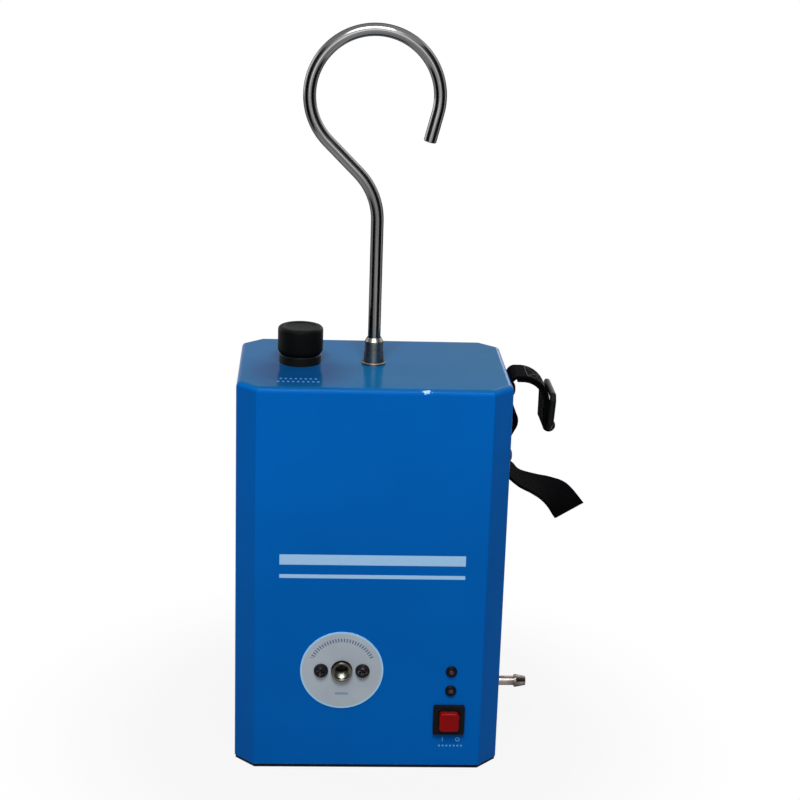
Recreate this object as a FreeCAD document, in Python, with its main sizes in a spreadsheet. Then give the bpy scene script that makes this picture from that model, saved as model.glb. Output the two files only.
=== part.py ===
import FreeCAD, Part
import math
import os
import re

import Sketcher
from FreeCAD import Placement, Rotation, Vector

# Smoke leak detector: a sheet-steel case that hangs from a swivelling hook.
# Millimetres. The origin is the middle of the base plate's underside, +Z is up,
# -Y is the front with the gauge port and the switch, +X is the side with the outlet.

SIZES = {
    # Case
    "case_width": 150, "case_depth": 102, "case_top": 225, "corner_cut": 11,
    "sheet": 1.5, "top_bend": 3, "corner_bend": 1.2,
    "base_thick": 2, "base_inset": 0.5,
    "window_width": 108, "window_low": 14, "window_high": 211,
    "cover_thick": 1.2, "cover_lap": 7, "cover_corner": 4,
    "vent_width": 26, "vent_height": 3, "vent_pitch": 9, "vent_low": 132, "vent_side": 26,
    "vent_count": 6, "cover_screw_inset": 6,
    "block_width": 10, "block_depth": 12, "block_height": 12, "block_spacing": 56,
    # Fasteners
    "head_side": 0.45, "head_shoulder": 0.84, "head_shoulder_high": 0.8, "head_crown": 0.56,
    "drive_share": 0.56, "drive_depth": 0.55, "screw_point": 0.3, "screw_tail": 2,
    "hex_socket": 2, "hex_socket_deep": 0.9, "base_screw_sink": 0.1, "base_screw_rim": 0.4,
    "base_screw_long": 6.5, "edge_break": 0.4, "thread_start": 0.5, "cut_over": 1,
    "screw_small": 3, "head_small": 5.6, "head_small_high": 2, "countersink": 1.6,
    "inner_screw_long": 6, "screw_large": 4, "head_large": 8, "head_large_high": 2.6, "drive_slot": 1,
    "hole_slack": 0.15, "fit_gap": 0.3, "running_gap": 0.06,
    # Hook
    "hook_rod_thick": 7, "hook_straight": 306, "hook_bend": 37, "hook_lean": 45,
    "hook_lean_run": 24, "hook_ring": 35.1, "hook_sweep": 239, "hook_tip": 16,
    "sleeve_wide": 10.2, "sleeve_low": 232, "sleeve_high": 238.3, "sleeve_cone": 2,
    "bush_wide": 10.9, "bush_flange": 13.5, "bush_flange_thick": 1.5, "bush_shank": 10,
    "bush_reach": 13, "bush_nut_flats": 17, "bush_nut_thick": 6,
    "load_plate_size": 40, "load_plate_thick": 2,
    "washer_wide": 16, "washer_thick": 1.5, "locknut_flats": 13, "locknut_thick": 6,
    "rod_stub": 2,
    # Oil filler
    "filler_x": -41, "filler_y": 1, "neck_flange": 23.2, "neck_flange_high": 5,
    "neck_thread": 17, "neck_top": 14, "neck_shank": 18, "neck_bore": 14, "neck_reach": 30,
    "neck_nut_wide": 26, "neck_nut_thick": 4, "neck_spigot": 16, "neck_spigot_long": 14,
    "cap_wide": 25.2, "cap_high": 15.4, "cap_skirt_gap": 0.3, "cap_bevel": 1.8,
    "liner_thick": 1.5, "filler_passage": 12,
    # Gauge port
    "port_x": -15, "port_z": 60.8, "plate_wide": 46.5, "plate_thick": 0.5,
    "port_wide": 11.8, "port_proud": 2.2, "port_bore": 8.6, "port_bore_deep": 9,
    "port_screw_spacing": 23.2, "port_flange_wide": 34, "port_flange_high": 15,
    "port_flange_thick": 5, "port_nose_wide": 14, "port_nose_long": 13,
    "port_spigot_back": 14, "port_spigot_high": 14, "port_screw_short": 0.5,
    # Indicator lamps
    "lamp_x": 46.6, "lamp_z": 60.5, "lamp_pitch": 11.8, "lamp_bezel": 6.5, "lamp_proud": 1.6,
    "lamp_barrel": 4.8, "lamp_long": 9, "lamp_lens": 3, "lamp_nut_flats": 7, "lamp_nut_thick": 2,
    "lamp_rim": 0.64, "lamp_slope": 0.8, "lens_dome": 1.1,
    # Push button
    "switch_x": 46.1, "switch_z": 31, "bezel_size": 17.8, "bezel_proud": 2.2, "bezel_round": 1.2,
    "barrel_wide": 15.8, "barrel_long": 20, "barrel_bore": 8, "button_size": 11.2,
    "button_round": 2, "button_gap": 0.3, "button_thick": 3.5, "button_proud": 3.2,
    "button_crown": 0.8, "stem_guide": 3, "button_stem": 6, "button_stem_long": 12,
    "pocket_deep": 3.7, "switch_nut_flats": 21, "switch_nut_thick": 3,
    "spring_wide": 6.4, "spring_wire": 0.8, "contacts_size": 13, "contacts_long": 10,
    "blade_wide": 3, "blade_thick": 0.8, "blade_long": 7, "blade_pitch": 6,
    # Smoke outlet
    "outlet_z": 30.4, "outlet_hex": 11, "outlet_hex_thick": 3.5, "outlet_stem": 5.5,
    "barb_start": 13.6, "barb_wide": 7.5, "barb_land": 1, "barb_taper": 0.1, "outlet_reach": 20.3,
    "outlet_bore": 3.4, "outlet_shank": 10, "outlet_shank_long": 28, "outlet_nut_flats": 14,
    "outlet_nut_thick": 4, "outlet_spigot_in": 23, "outlet_spigot_high": 17,
    # Strap and ring
    "strap_wide": 25, "strap_thick": 1.8, "strap_seat": 1, "strap_low_screw": 172,
    "strap_high_screw": 211.5, "strap_slack": 5, "strap_washer": 12,
    "strap_arm": 220.6, "strap_arm_round": 4, "strap_bow_round": 8, "strap_drop_x": 22.2,
    "strap_drop_round": 14, "strap_flat_above": 14.5, "strap_flat_below": 6,
    "strap_tail_start": 6, "strap_screw_past": 4,
    "ring_bar": 3.6, "ring_bar_gap": 0.08, "ring_bar_z": 193.8, "ring_tall": 18.2,
    "ring_wide": 36, "ring_tilt": 3.5, "ring_round_share": 0.45,
    # Power socket
    "socket_x": 38, "socket_z": 26, "socket_flange": 17, "socket_flange_thick": 2,
    "socket_thread": 12, "socket_long": 9, "socket_shank": 11.6, "socket_inner": 10,
    "socket_bore": 9.2, "socket_nut_flats": 15, "socket_nut_thick": 3, "insulator_short": 2.5,
    "pin_wide": 1.6, "pin_pitch": 4, "pin_tail": 5, "pin_short": 1,
    # Chassis plate
    "chassis_x": 0, "chassis_front": -30, "chassis_rear": 42, "chassis_high": 148,
    "chassis_foot": 18, "foot_screw_out": 10.8, "foot_screw_inset": 10,
    "chassis_boss": 7, "chassis_boss_high": 3, "chassis_hole": 10,
    # Oil tank
    "tank_side_gap": 3.5, "tank_plate_gap": 2, "tank_rim": 6,
    "tank_flange": "=chassis_x + case_width / 2 - sheet - tank_side_gap - tank_plate_gap",
    "tank_x": "=chassis_x - tank_plate_gap - tank_flange / 2", "tank_y": 6,
    "tank_wide": "=tank_flange - 2 * tank_rim", "tank_high": 78, "tank_wall": 2,
    "tank_flange_thick": 3, "tank_gasket_thick": 1.5, "tank_lid_thick": 4,
    "lid_screw_circle": "=tank_flange - tank_rim", "lid_screw_count": 6, "lid_screw_turn": 30,
    "lid_spigot_high": 12,
    "clamp_z": 58, "clamp_high": 14, "clamp_thick": 1.2, "clamp_lug": 16, "clamp_bite": 0.5,
    "heater_x": -23.5, "heater_y": 20, "heater_hex": 12, "heater_hex_high": 6,
    "heater_stem": 6, "heater_long": 62, "heater_post": 4, "heater_post_high": 10,
    # Air pump
    "pump_x": 20, "pump_y": 22, "pump_low": 86, "motor_wide": 27, "motor_high": 34,
    "motor_wall": 1.2, "rotor_wide": 22, "rotor_high": 24, "rotor_shaft": 2.3,
    "pump_head_size": 29, "pump_head_high": 22, "crank_wide": 12, "crank_high": 8,
    "pump_spigot_high": 12, "pump_inlet_long": 8, "pump_inlet_rise": 15.4,
    "pump_head_corner": 2, "crank_room": 1.5, "pump_clamp_rise": 6,
    # Control board
    "board_gap": 8, "board_thick": 1.6, "board_front": -26, "board_rear": 34,
    "board_low": 14, "board_high": 74, "board_screw_inset": 5, "standoff_wide": 6,
    "relay_long": 19, "relay_wide": 15.5, "relay_high": 15.3, "relay_y": -8, "relay_z": 56,
    "capacitor_wide": 10, "capacitor_high": 16, "capacitor_y": 14, "capacitor_z": 58,
    "capacitor_groove": 2,
    "terminal_long": 22, "terminal_deep": 10, "terminal_high": 12, "terminal_y": 14,
    "terminal_pitch": 15, "terminal_hole": 3.4, "terminal_hole_deep": 4,
    # Hoses and leads
    "hose_wide": 9, "spigot_wide": 5.8, "hose_slack": 0.1, "hose_passage": 2.5,
    "tee_z": 122, "tee_run": 24, "tee_body": 10, "tee_branch": 14,
    "valve_z": 122, "valve_body": 14, "valve_long": 26, "valve_barrel": 12,
    "smoke_arch": 146, "air_arch": 154, "air_x": -45, "hose_stub": 1,
    "clip_wide": 5, "clip_thick": 1, "clip_set_back": 2, "lead_y": -12, "lead_z": 110,
    "filler_hose_wide": 20.4, "lead_wide": 3, "lead_bend": 6, "lead_drop": 8,
}

document = FreeCAD.newDocument("SmokeLeakDetector")
sheet = document.addObject("Spreadsheet::Sheet", "Sizes")
for row, (size_name, number) in enumerate(SIZES.items(), start=1):
    sheet.set(f"A{row}", size_name)
    sheet.set(f"B{row}", str(number))
    sheet.setAlias(f"B{row}", size_name)
document.recompute()

WORD = re.compile(r"\b(" + "|".join(sorted(SIZES, key=len, reverse=True)) + r")\b")
FRONT = Rotation(Vector(1, 0, 0), 90)
REAR = Rotation(Vector(1, 0, 0), -90)
RIGHT = Rotation(Vector(0, 1, 0), 90)
LEFT = Rotation(Vector(0, 1, 0), -90)
UP = Rotation()
pieces = {}


def size(name):
    """A size as it stands in the sheet."""
    return float(getattr(sheet, name))


def formula(text):
    """Name the sheet before each size in a formula."""
    return WORD.sub(r"Sizes.\1", str(text))


def keep(thing, label):
    """List a finished sub-part under its own name."""
    thing.Label = label
    pieces[label] = thing
    return thing


def place(thing, at, turn=UP):
    """Put a sub-part at formulas for X, Y and Z."""
    thing.Placement = Placement(Vector(0, 0, 0), turn)
    for axis, text in zip("xyz", at):
        thing.setExpression(f"Placement.Base.{axis}", formula(text))
    return thing


def new_body(name):
    """An empty body."""
    return document.addObject("PartDesign::Body", name)


def new_sketch(body, plane, lift="0"):
    """A sketch on one of the body's own planes, lifted off it by a formula."""
    sketch = body.newObject("Sketcher::SketchObject", f"{body.Name}_sketch")
    origin = next(item for item in body.Origin.OriginFeatures if item.Role == plane)
    sketch.AttachmentSupport = [(origin, "")]
    sketch.MapMode = "FlatFace"
    sketch.setExpression("AttachmentOffset.Base.z", formula(lift))
    return sketch


def tie(sketch, constraint, text):
    """Add a constraint whose value is a formula."""
    index = sketch.addConstraint(constraint)
    sketch.setExpression(f"Constraints[{index}]", formula(text))


def draw_loop(sketch, points):
    """A closed outline of straight lines through points given as formulas."""
    first = sketch.GeometryCount
    count = len(points)
    turn = 2 * math.pi / count
    seeds = [Vector(math.cos(turn * step), math.sin(turn * step), 0) for step in range(count)]
    for step in range(count):
        sketch.addGeometry(Part.LineSegment(seeds[step], seeds[(step + 1) % count]))
    for step, (across, along) in enumerate(points):
        line = first + step
        follower = first + (step + 1) % count
        sketch.addConstraint(Sketcher.Constraint("Coincident", line, 2, follower, 1))
        tie(sketch, Sketcher.Constraint("DistanceX", -1, 1, line, 1, seeds[step].x), across)
        tie(sketch, Sketcher.Constraint("DistanceY", -1, 1, line, 1, seeds[step].y), along)


def draw_circle(sketch, across, along, width):
    """A circle whose centre and diameter are formulas."""
    circle = sketch.addGeometry(Part.Circle(Vector(1, 1, 0), Vector(0, 0, 1), 1))
    tie(sketch, Sketcher.Constraint("DistanceX", -1, 1, circle, 3, 1), across)
    tie(sketch, Sketcher.Constraint("DistanceY", -1, 1, circle, 3, 1), along)
    tie(sketch, Sketcher.Constraint("Diameter", circle, 2), width)


def rectangle(left, low, right, high):
    """The corners of a rectangle, as formulas."""
    return [(left, low), (right, low), (right, high), (left, high)]


def centred(width, height, across="0", along="0"):
    """The corners of a rectangle about a centre, as formulas."""
    left = f"{across} - ({width}) / 2"
    right = f"{across} + ({width}) / 2"
    return rectangle(left, f"{along} - ({height}) / 2", right, f"{along} + ({height}) / 2")


def hexagon(flats, across="0", along="0"):
    """The corners of a hexagon across flats."""
    half = f"({flats}) / 2"
    low = f"({flats}) / (2 * sqrt(3))"
    tall = f"({flats}) / sqrt(3)"
    corners = [(half, low), ("0", tall), (f"-{half}", low)]
    corners += [(f"-{half}", f"-{low}"), ("0", f"-{tall}"), (half, f"-{low}")]
    return [(f"{across} + {x}", f"{along} + {y}") for x, y in corners]


def cut_corners(width, depth, corner):
    """The corners of a rectangle with 45 degree corners, about the origin."""
    half_x = f"({width}) / 2"
    half_y = f"({depth}) / 2"
    near_x = f"({half_x} - ({corner}))"
    near_y = f"({half_y} - ({corner}))"
    return [(near_x, f"-{half_y}"), (half_x, f"-{near_y}"), (half_x, near_y), (near_x, half_y),
            (f"-{near_x}", half_y), (f"-{half_x}", near_y), (f"-{half_x}", f"-{near_y}"),
            (f"-{near_x}", f"-{half_y}")]


def pad(body, length, loops=(), circles=(), plane="XY_Plane", lift="0", back=False):
    """Add an extrusion of outlines and circles."""
    sketch = new_sketch(body, plane, lift)
    for points in loops:
        draw_loop(sketch, points)
    for circle in circles:
        draw_circle(sketch, *circle)
    feature = body.newObject("PartDesign::Pad", f"{body.Name}_pad")
    feature.Profile = sketch
    feature.Reversed = back
    feature.setExpression("Length", formula(length))
    document.recompute()
    return feature


def pocket(body, length, loops=(), circles=(), plane="XY_Plane", lift="0", forward=False):
    """Cut outlines and circles out of a body, and prove that something was cut."""
    before = body.Shape.Volume
    sketch = new_sketch(body, plane, lift)
    for points in loops:
        draw_loop(sketch, points)
    for circle in circles:
        draw_circle(sketch, *circle)
    feature = body.newObject("PartDesign::Pocket", f"{body.Name}_pocket")
    feature.Profile = sketch
    feature.Reversed = forward
    feature.setExpression("Length", formula(length))
    document.recompute()
    if not body.Shape.Volume < before:
        raise ValueError(f"{feature.Name} cuts nothing")
    return feature


def turned(name, profile, more=()):
    """A body turned about its own Z axis, from profiles of radius and height formulas."""
    body = new_body(name)
    sketch = new_sketch(body, "XZ_Plane")
    draw_loop(sketch, profile)
    for points in more:
        draw_loop(sketch, points)
    feature = body.newObject("PartDesign::Revolution", f"{name}_revolution")
    feature.Profile = sketch
    feature.ReferenceAxis = (sketch, ["V_Axis"])
    feature.Angle = 360
    document.recompute()
    return body


def round_edges(body, radius, chosen):
    """Fillet the edges of a body that a test picks."""
    base = body.Tip
    names = [f"Edge{number}" for number, edge in enumerate(base.Shape.Edges, start=1)
             if chosen(edge.BoundBox)]
    feature = body.newObject("PartDesign::Fillet", f"{body.Name}_fillet")
    feature.Base = (base, names)
    feature.setExpression("Radius", formula(radius))
    document.recompute()
    return feature


def group(label, master, places, *turns):
    """Copies of one body at several places, as one sub-part of separate solids."""
    links = []
    for number, at in enumerate(places):
        link = document.addObject("App::Link", f"{label}_{number}")
        link.LinkedObject = master
        links.append(place(link, at, turns[min(number, len(turns) - 1)]))
    compound = document.addObject("Part::Compound", label)
    compound.Links = links
    return keep(compound, label)


def nut(label, flats, thick, hole, at, turn=UP):
    """A hexagon nut whose first face lies at a place."""
    body = new_body(label)
    pad(body, thick, [hexagon(flats)], [("0", "0", f"{hole} + 2 * hole_slack")])
    return keep(place(body, at, turn), label)


def pan_screw(name, shank, head, head_high, length):
    """A cross-slotted pan-head screw: head above its own origin, shank below."""
    body = turned(name, [
        ("0", f"-({length})"), (f"{shank} / 2 - screw_point", f"-({length})"),
        (f"{shank} / 2", f"-({length}) + screw_point"), (f"{shank} / 2", "0"),
        (f"{head} / 2", "0"), (f"{head} / 2", f"{head_high} * head_side"),
        (f"{head} / 2 * head_shoulder", f"{head_high} * head_shoulder_high"),
        (f"{head} / 2 * head_crown", head_high), ("0", head_high)])
    arm = f"{head} * drive_share"
    for loop in (centred(arm, "drive_slot"), centred("drive_slot", arm)):
        pocket(body, f"{head_high} * drive_depth", [loop], lift=head_high)
    return body


def route(points, *radii):
    """A smooth wire: straight runs through points, joined by tangent arcs."""
    edges = []
    start = points[0]
    corners = zip(points, points[1:], points[2:], radii)
    for before, corner, after, radius in corners:
        back = (before - corner).normalize()
        ahead = (after - corner).normalize()
        half_turn = (math.pi - back.getAngle(ahead)) / 2
        reach = radius * math.tan(half_turn)
        first = corner + back * reach
        last = corner + ahead * reach
        inward = (back + ahead).normalize()
        middle = corner + inward * (radius / math.cos(half_turn) - radius)
        if (first - start).Length > 1e-6:
            edges.append(Part.LineSegment(start, first).toShape())
        edges.append(Part.Arc(first, middle, last).toShape())
        start = last
    edges.append(Part.LineSegment(start, points[-1]).toShape())
    return Part.Wire(edges)


def tube(wire, width):
    """A round solid of one width along a wire."""
    start = wire.Vertexes[0].Point
    heading = wire.Edges[0].tangentAt(wire.Edges[0].FirstParameter)
    circle = Part.Wire(Part.Circle(start, heading, width / 2).toShape())
    return wire.makePipeShell([circle], True, False)


def hoses(label, routes, outer, inner):
    """Hoses open right through, each along its own route."""
    feature = document.addObject("Part::Feature", label)
    feature.Shape = Part.makeCompound([tube(wire, outer).cut(tube(wire, inner))
                                       for wire in routes])
    return keep(feature, label)


# Case: shell, base plate, corner blocks, rear cover and their screws

FRONT_FACE = "-case_depth / 2"
FRONT_INNER = "-case_depth / 2 + sheet"
ROOF_INNER = "case_top - sheet"


def build_shell():
    """The folded shell, open below, with a window in its rear."""
    body = new_body("housing_shell")
    pad(body, "case_top - base_thick", [cut_corners("case_width", "case_depth", "corner_cut")],
        lift="base_thick")
    corner = size("corner_cut")
    round_edges(body, "corner_bend", lambda box: box.ZLength > corner * 2)
    roof = size("case_top") - 1e-4
    round_edges(body, "top_bend", lambda box: box.ZMin > roof)
    pocket(body, "case_top - base_thick - sheet",
           [cut_corners("case_width - 2 * sheet", "case_depth - 2 * sheet",
                        "corner_cut - sheet * (2 - sqrt(2))")],
           lift="base_thick", forward=True)
    reach = "case_depth / 2 + cut_over"
    # The front face's openings, seen along +Y
    port_holes = [("port_x", "port_z", "port_wide + 2 * hole_slack")]
    port_holes += [(f"port_x {side} port_screw_spacing / 2", "port_z",
                    "screw_large + 2 * hole_slack") for side in "+-"]
    lamp_holes = [("lamp_x", f"lamp_z - {step} * lamp_pitch", "lamp_barrel + 2 * hole_slack")
                  for step in range(2)]
    switch_hole = [("switch_x", "switch_z", "barrel_wide + 2 * hole_slack")]
    pocket(body, reach, circles=port_holes + lamp_holes + switch_hole, plane="XZ_Plane",
           forward=True)
    # The rear window and the screw holes round it
    pocket(body, reach, [rectangle("-window_width / 2", "window_low", "window_width / 2",
                                   "window_high")], plane="XZ_Plane")
    pocket(body, reach, circles=[(x, z, "screw_small + 2 * hole_slack") for x, z in cover_screws()],
           plane="XZ_Plane")
    # Top: hook bush and filler neck
    pocket(body, "case_top + cut_over", circles=[("0", "0", "bush_shank + 2 * hole_slack"),
                                      ("filler_x", "filler_y", "neck_shank + 2 * hole_slack")],
           forward=True)
    # Right side: outlet and strap screws
    side_holes = [("0", "outlet_z", "outlet_shank + 2 * hole_slack")]
    side_holes += [("0", height, "screw_large + 2 * hole_slack")
                   for height in ("strap_low_screw", "strap_high_screw")]
    pocket(body, "case_width / 2 + cut_over", circles=side_holes, plane="YZ_Plane", forward=True)
    return keep(body, "housing_shell")


def cover_screws():
    """Where the rear cover's screws lie, across and up."""
    side = "window_width / 2 + cover_lap / 2"
    heights = ["window_low + cover_screw_inset", "(window_low + window_high) / 2",
               "window_high - cover_screw_inset"]
    return [(f"{sign}({side})", height) for sign in ("-", "") for height in heights]


def block_places(height):
    """Where the corner blocks' screws lie."""
    x = "case_width / 2 - sheet - block_width / 2"
    return [(f"{sx}({x})", f"{sy}block_spacing / 2", height) for sx in ("", "-")
            for sy in ("", "-")]


def foot_places(height):
    """Where the chassis foot's screws lie."""
    x = "chassis_x + sheet + foot_screw_out"
    return [(x, "chassis_front + foot_screw_inset", height),
            (x, "chassis_rear - foot_screw_inset", height)]


def build_case():
    """The shell and everything that closes it."""
    build_shell()
    hole = "screw_small + 2 * hole_slack"
    base = new_body("base_plate")
    pad(base, "base_thick", [cut_corners("case_width - 2 * base_inset",
                                         "case_depth - 2 * base_inset", "corner_cut")])
    screw_places = block_places("0") + foot_places("0")
    pocket(base, "base_thick", circles=[(x, y, hole) for x, y, _ in screw_places], forward=True)
    pocket(base, "countersink", circles=[(x, y, "head_small + 2 * hole_slack")
                                         for x, y, _ in screw_places], forward=True)
    keep(base, "base_plate")
    screw = turned("base_screw_master", [
        ("0", "base_screw_sink"), ("head_small / 2", "base_screw_sink"),
        ("head_small / 2", "base_screw_sink + base_screw_rim"),
        ("screw_small / 2", "countersink"), ("screw_small / 2", "base_screw_long"),
        ("0", "base_screw_long")])
    pocket(screw, "hex_socket_deep", [hexagon("hex_socket")], lift="base_screw_sink",
           forward=True)
    group("base_screws", screw, screw_places, UP)
    block = new_body("corner_block_master")
    pad(block, "block_height", [centred("block_width", "block_depth")],
        [("0", "0", hole)])
    group("corner_blocks", block, block_places("base_thick"), UP)
    cover = new_body("rear_cover")
    half = "(window_width / 2 + cover_lap)"
    low = "window_low - cover_lap"
    high = "window_high + cover_lap"
    cut = "cover_corner"
    outline = [(f"-{half} + {cut}", low), (f"{half} - {cut}", low), (half, f"{low} + {cut}"),
               (half, f"{high} - {cut}"), (f"{half} - {cut}", high), (f"-{half} + {cut}", high),
               (f"-{half}", f"{high} - {cut}"), (f"-{half}", f"{low} + {cut}")]
    pad(cover, "cover_thick", [outline], plane="XZ_Plane", lift="-case_depth / 2 - cover_thick")
    holes = [(x, z, hole) for x, z in cover_screws()]
    holes.append(("socket_x", "socket_z", "socket_shank + 2 * hole_slack"))
    pocket(cover, "case_depth", circles=holes, plane="XZ_Plane")
    slots = [centred("vent_width", "vent_height", side, f"vent_low + {step} * vent_pitch")
             for side in ("-vent_side", "vent_side") for step in range(int(size("vent_count")))]
    pocket(cover, "case_depth", slots, plane="XZ_Plane")
    keep(cover, "rear_cover")
    cover_screw = pan_screw("cover_screw_master", "screw_small", "head_small", "head_small_high",
                            "cover_thick + sheet + screw_tail")
    group("rear_cover_screws", cover_screw,
          [(x, "case_depth / 2 + cover_thick", z) for x, z in cover_screws()], REAR)


# Hook: rod, sleeve, bush and what holds them under the roof

def build_hook():
    """The bent rod that swivels in its bush."""
    body = new_body("hook_rod")
    low = f"{ROOF_INNER} - bush_reach - washer_thick - locknut_thick - rod_stub"
    path = new_sketch(body, "XZ_Plane")
    seed_low = size("hook_straight") / 2
    lean = math.radians(size("hook_lean"))
    bend = size("hook_bend")
    ring = size("hook_ring")
    straight = size("hook_straight")
    elbow = Vector(-bend, straight, 0)
    bend_end = elbow + Vector(math.cos(lean), math.sin(lean), 0) * bend
    ahead = Vector(-math.sin(lean), math.cos(lean), 0)
    run_end = bend_end + ahead * size("hook_lean_run")
    centre = run_end + Vector(math.cos(lean), math.sin(lean), 0) * ring
    first = math.pi + lean
    last = first - math.radians(size("hook_sweep"))
    tip_start = centre + Vector(math.cos(last), math.sin(last), 0) * ring
    tip_end = tip_start + Vector(math.sin(last), -math.cos(last), 0) * size("hook_tip")
    plane = Vector(0, 0, 1)
    path.addGeometry(Part.LineSegment(Vector(0, seed_low, 0), Vector(0, straight, 0)))
    path.addGeometry(Part.ArcOfCircle(Part.Circle(elbow, plane, bend), 0, lean))
    path.addGeometry(Part.LineSegment(bend_end, run_end))
    path.addGeometry(Part.ArcOfCircle(Part.Circle(centre, plane, ring), last, first))
    path.addGeometry(Part.LineSegment(tip_start, tip_end))
    path.addConstraint(Sketcher.Constraint("PointOnObject", 0, 1, -2))
    path.addConstraint(Sketcher.Constraint("Vertical", 0))
    path.addConstraint(Sketcher.Constraint("Tangent", 0, 2, 1, 1))
    path.addConstraint(Sketcher.Constraint("Tangent", 1, 2, 2, 1))
    path.addConstraint(Sketcher.Constraint("Tangent", 2, 2, 3, 2))
    path.addConstraint(Sketcher.Constraint("Tangent", 3, 1, 4, 1))
    tie(path, Sketcher.Constraint("DistanceY", -1, 1, 0, 1, seed_low), low)
    tie(path, Sketcher.Constraint("DistanceY", -1, 1, 0, 2, straight), "hook_straight")
    tie(path, Sketcher.Constraint("Radius", 1, bend), "hook_bend")
    tie(path, Sketcher.Constraint("Angle", 1, lean), "hook_lean")
    tie(path, Sketcher.Constraint("Distance", 2, size("hook_lean_run")), "hook_lean_run")
    tie(path, Sketcher.Constraint("Radius", 3, ring), "hook_ring")
    tie(path, Sketcher.Constraint("Angle", 3, first - last), "hook_sweep")
    tie(path, Sketcher.Constraint("Distance", 4, size("hook_tip")), "hook_tip")
    section = new_sketch(body, "XY_Plane", low)
    draw_circle(section, "0", "0", "hook_rod_thick")
    pipe = body.newObject("PartDesign::AdditivePipe", "hook_rod_pipe")
    pipe.Profile = section
    pipe.Spine = (path, [f"Edge{number}" for number in range(1, 6)])
    document.recompute()
    keep(body, "hook_rod")

    bore = "hook_rod_thick / 2 + running_gap"
    keep(turned("hook_sleeve", [
        (bore, "sleeve_low"), ("sleeve_wide / 2", "sleeve_low"),
        ("sleeve_wide / 2", "sleeve_high"),
        (f"{bore} + edge_break", "sleeve_high + sleeve_cone"),
        (bore, "sleeve_high + sleeve_cone")]), "hook_sleeve")
    flange_top = "case_top + bush_flange_thick"
    keep(turned("hook_bush", [
        (bore, f"{ROOF_INNER} - bush_reach"), ("bush_shank / 2", f"{ROOF_INNER} - bush_reach"),
        ("bush_shank / 2", "case_top"), ("bush_flange / 2", "case_top"),
        ("bush_flange / 2", f"{flange_top} - edge_break"),
        ("bush_flange / 2 - edge_break", flange_top),
        ("bush_wide / 2", flange_top), ("bush_wide / 2", "sleeve_low"),
        (bore, "sleeve_low")]), "hook_bush")
    plate = new_body("hook_load_plate")
    pad(plate, "load_plate_thick", [centred("load_plate_size", "load_plate_size")],
        [("0", "0", "bush_shank + 2 * hole_slack")])
    keep(place(plate, ("0", "0", f"{ROOF_INNER} - load_plate_thick")), "hook_load_plate")
    nut("hook_bush_nut", "bush_nut_flats", "bush_nut_thick", "bush_shank",
        ("0", "0", f"{ROOF_INNER} - load_plate_thick - bush_nut_thick"))
    washer = f"{ROOF_INNER} - bush_reach - washer_thick"
    keep(turned("hook_washer", rectangle(bore, washer, "washer_wide / 2",
                                         f"{washer} + washer_thick")), "hook_washer")
    nut("hook_locknut", "locknut_flats", "locknut_thick", "hook_rod_thick",
        ("0", "0", f"{washer} - locknut_thick"))


# Oil filler: neck, nut, cap and its liner

def build_filler():
    """The neck through the roof and the cap that screws onto it."""
    at = ("filler_x", "filler_y", "0")
    collar = "case_top + neck_flange_high"
    low = f"{ROOF_INNER} - neck_reach"
    neck = turned("filler_neck", [
        ("neck_bore / 2", low), ("neck_spigot / 2", low),
        ("neck_spigot / 2", f"{low} + neck_spigot_long"),
        ("neck_shank / 2", f"{low} + neck_spigot_long"), ("neck_shank / 2", "case_top"),
        ("neck_flange / 2", "case_top"), ("neck_flange / 2", f"{collar} - edge_break"),
        ("neck_flange / 2 - edge_break", collar), ("neck_thread / 2", collar),
        ("neck_thread / 2", "case_top + neck_top - thread_start"),
        ("neck_thread / 2 - thread_start", "case_top + neck_top"), ("neck_bore / 2", "case_top + neck_top")])
    keep(place(neck, at), "filler_neck")
    nut_low = f"{ROOF_INNER} - neck_nut_thick"
    ring = turned("filler_neck_nut", rectangle("neck_shank / 2 + hole_slack", nut_low,
                                               "neck_nut_wide / 2", ROOF_INNER))
    keep(place(ring, at), "filler_neck_nut")
    seat = "case_top + neck_top"
    liner = turned("cap_liner", rectangle("0", seat, "neck_thread / 2", f"{seat} + liner_thick"))
    keep(place(liner, at), "cap_liner")
    skirt = f"{collar} + cap_skirt_gap"
    top = f"{skirt} + cap_high"
    inside = "neck_thread / 2 + fit_gap"
    cap = turned("filler_cap", [
        (inside, skirt), ("cap_wide / 2 - edge_break", skirt),
        ("cap_wide / 2", f"{skirt} + edge_break"),
        ("cap_wide / 2", f"{top} - cap_bevel"), ("cap_wide / 2 - cap_bevel", top), ("0", top),
        ("0", f"{seat} + liner_thick"), (inside, f"{seat} + liner_thick")])
    keep(place(cap, at), "filler_cap")


# Gauge port: plate, socket and its two screws

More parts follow.
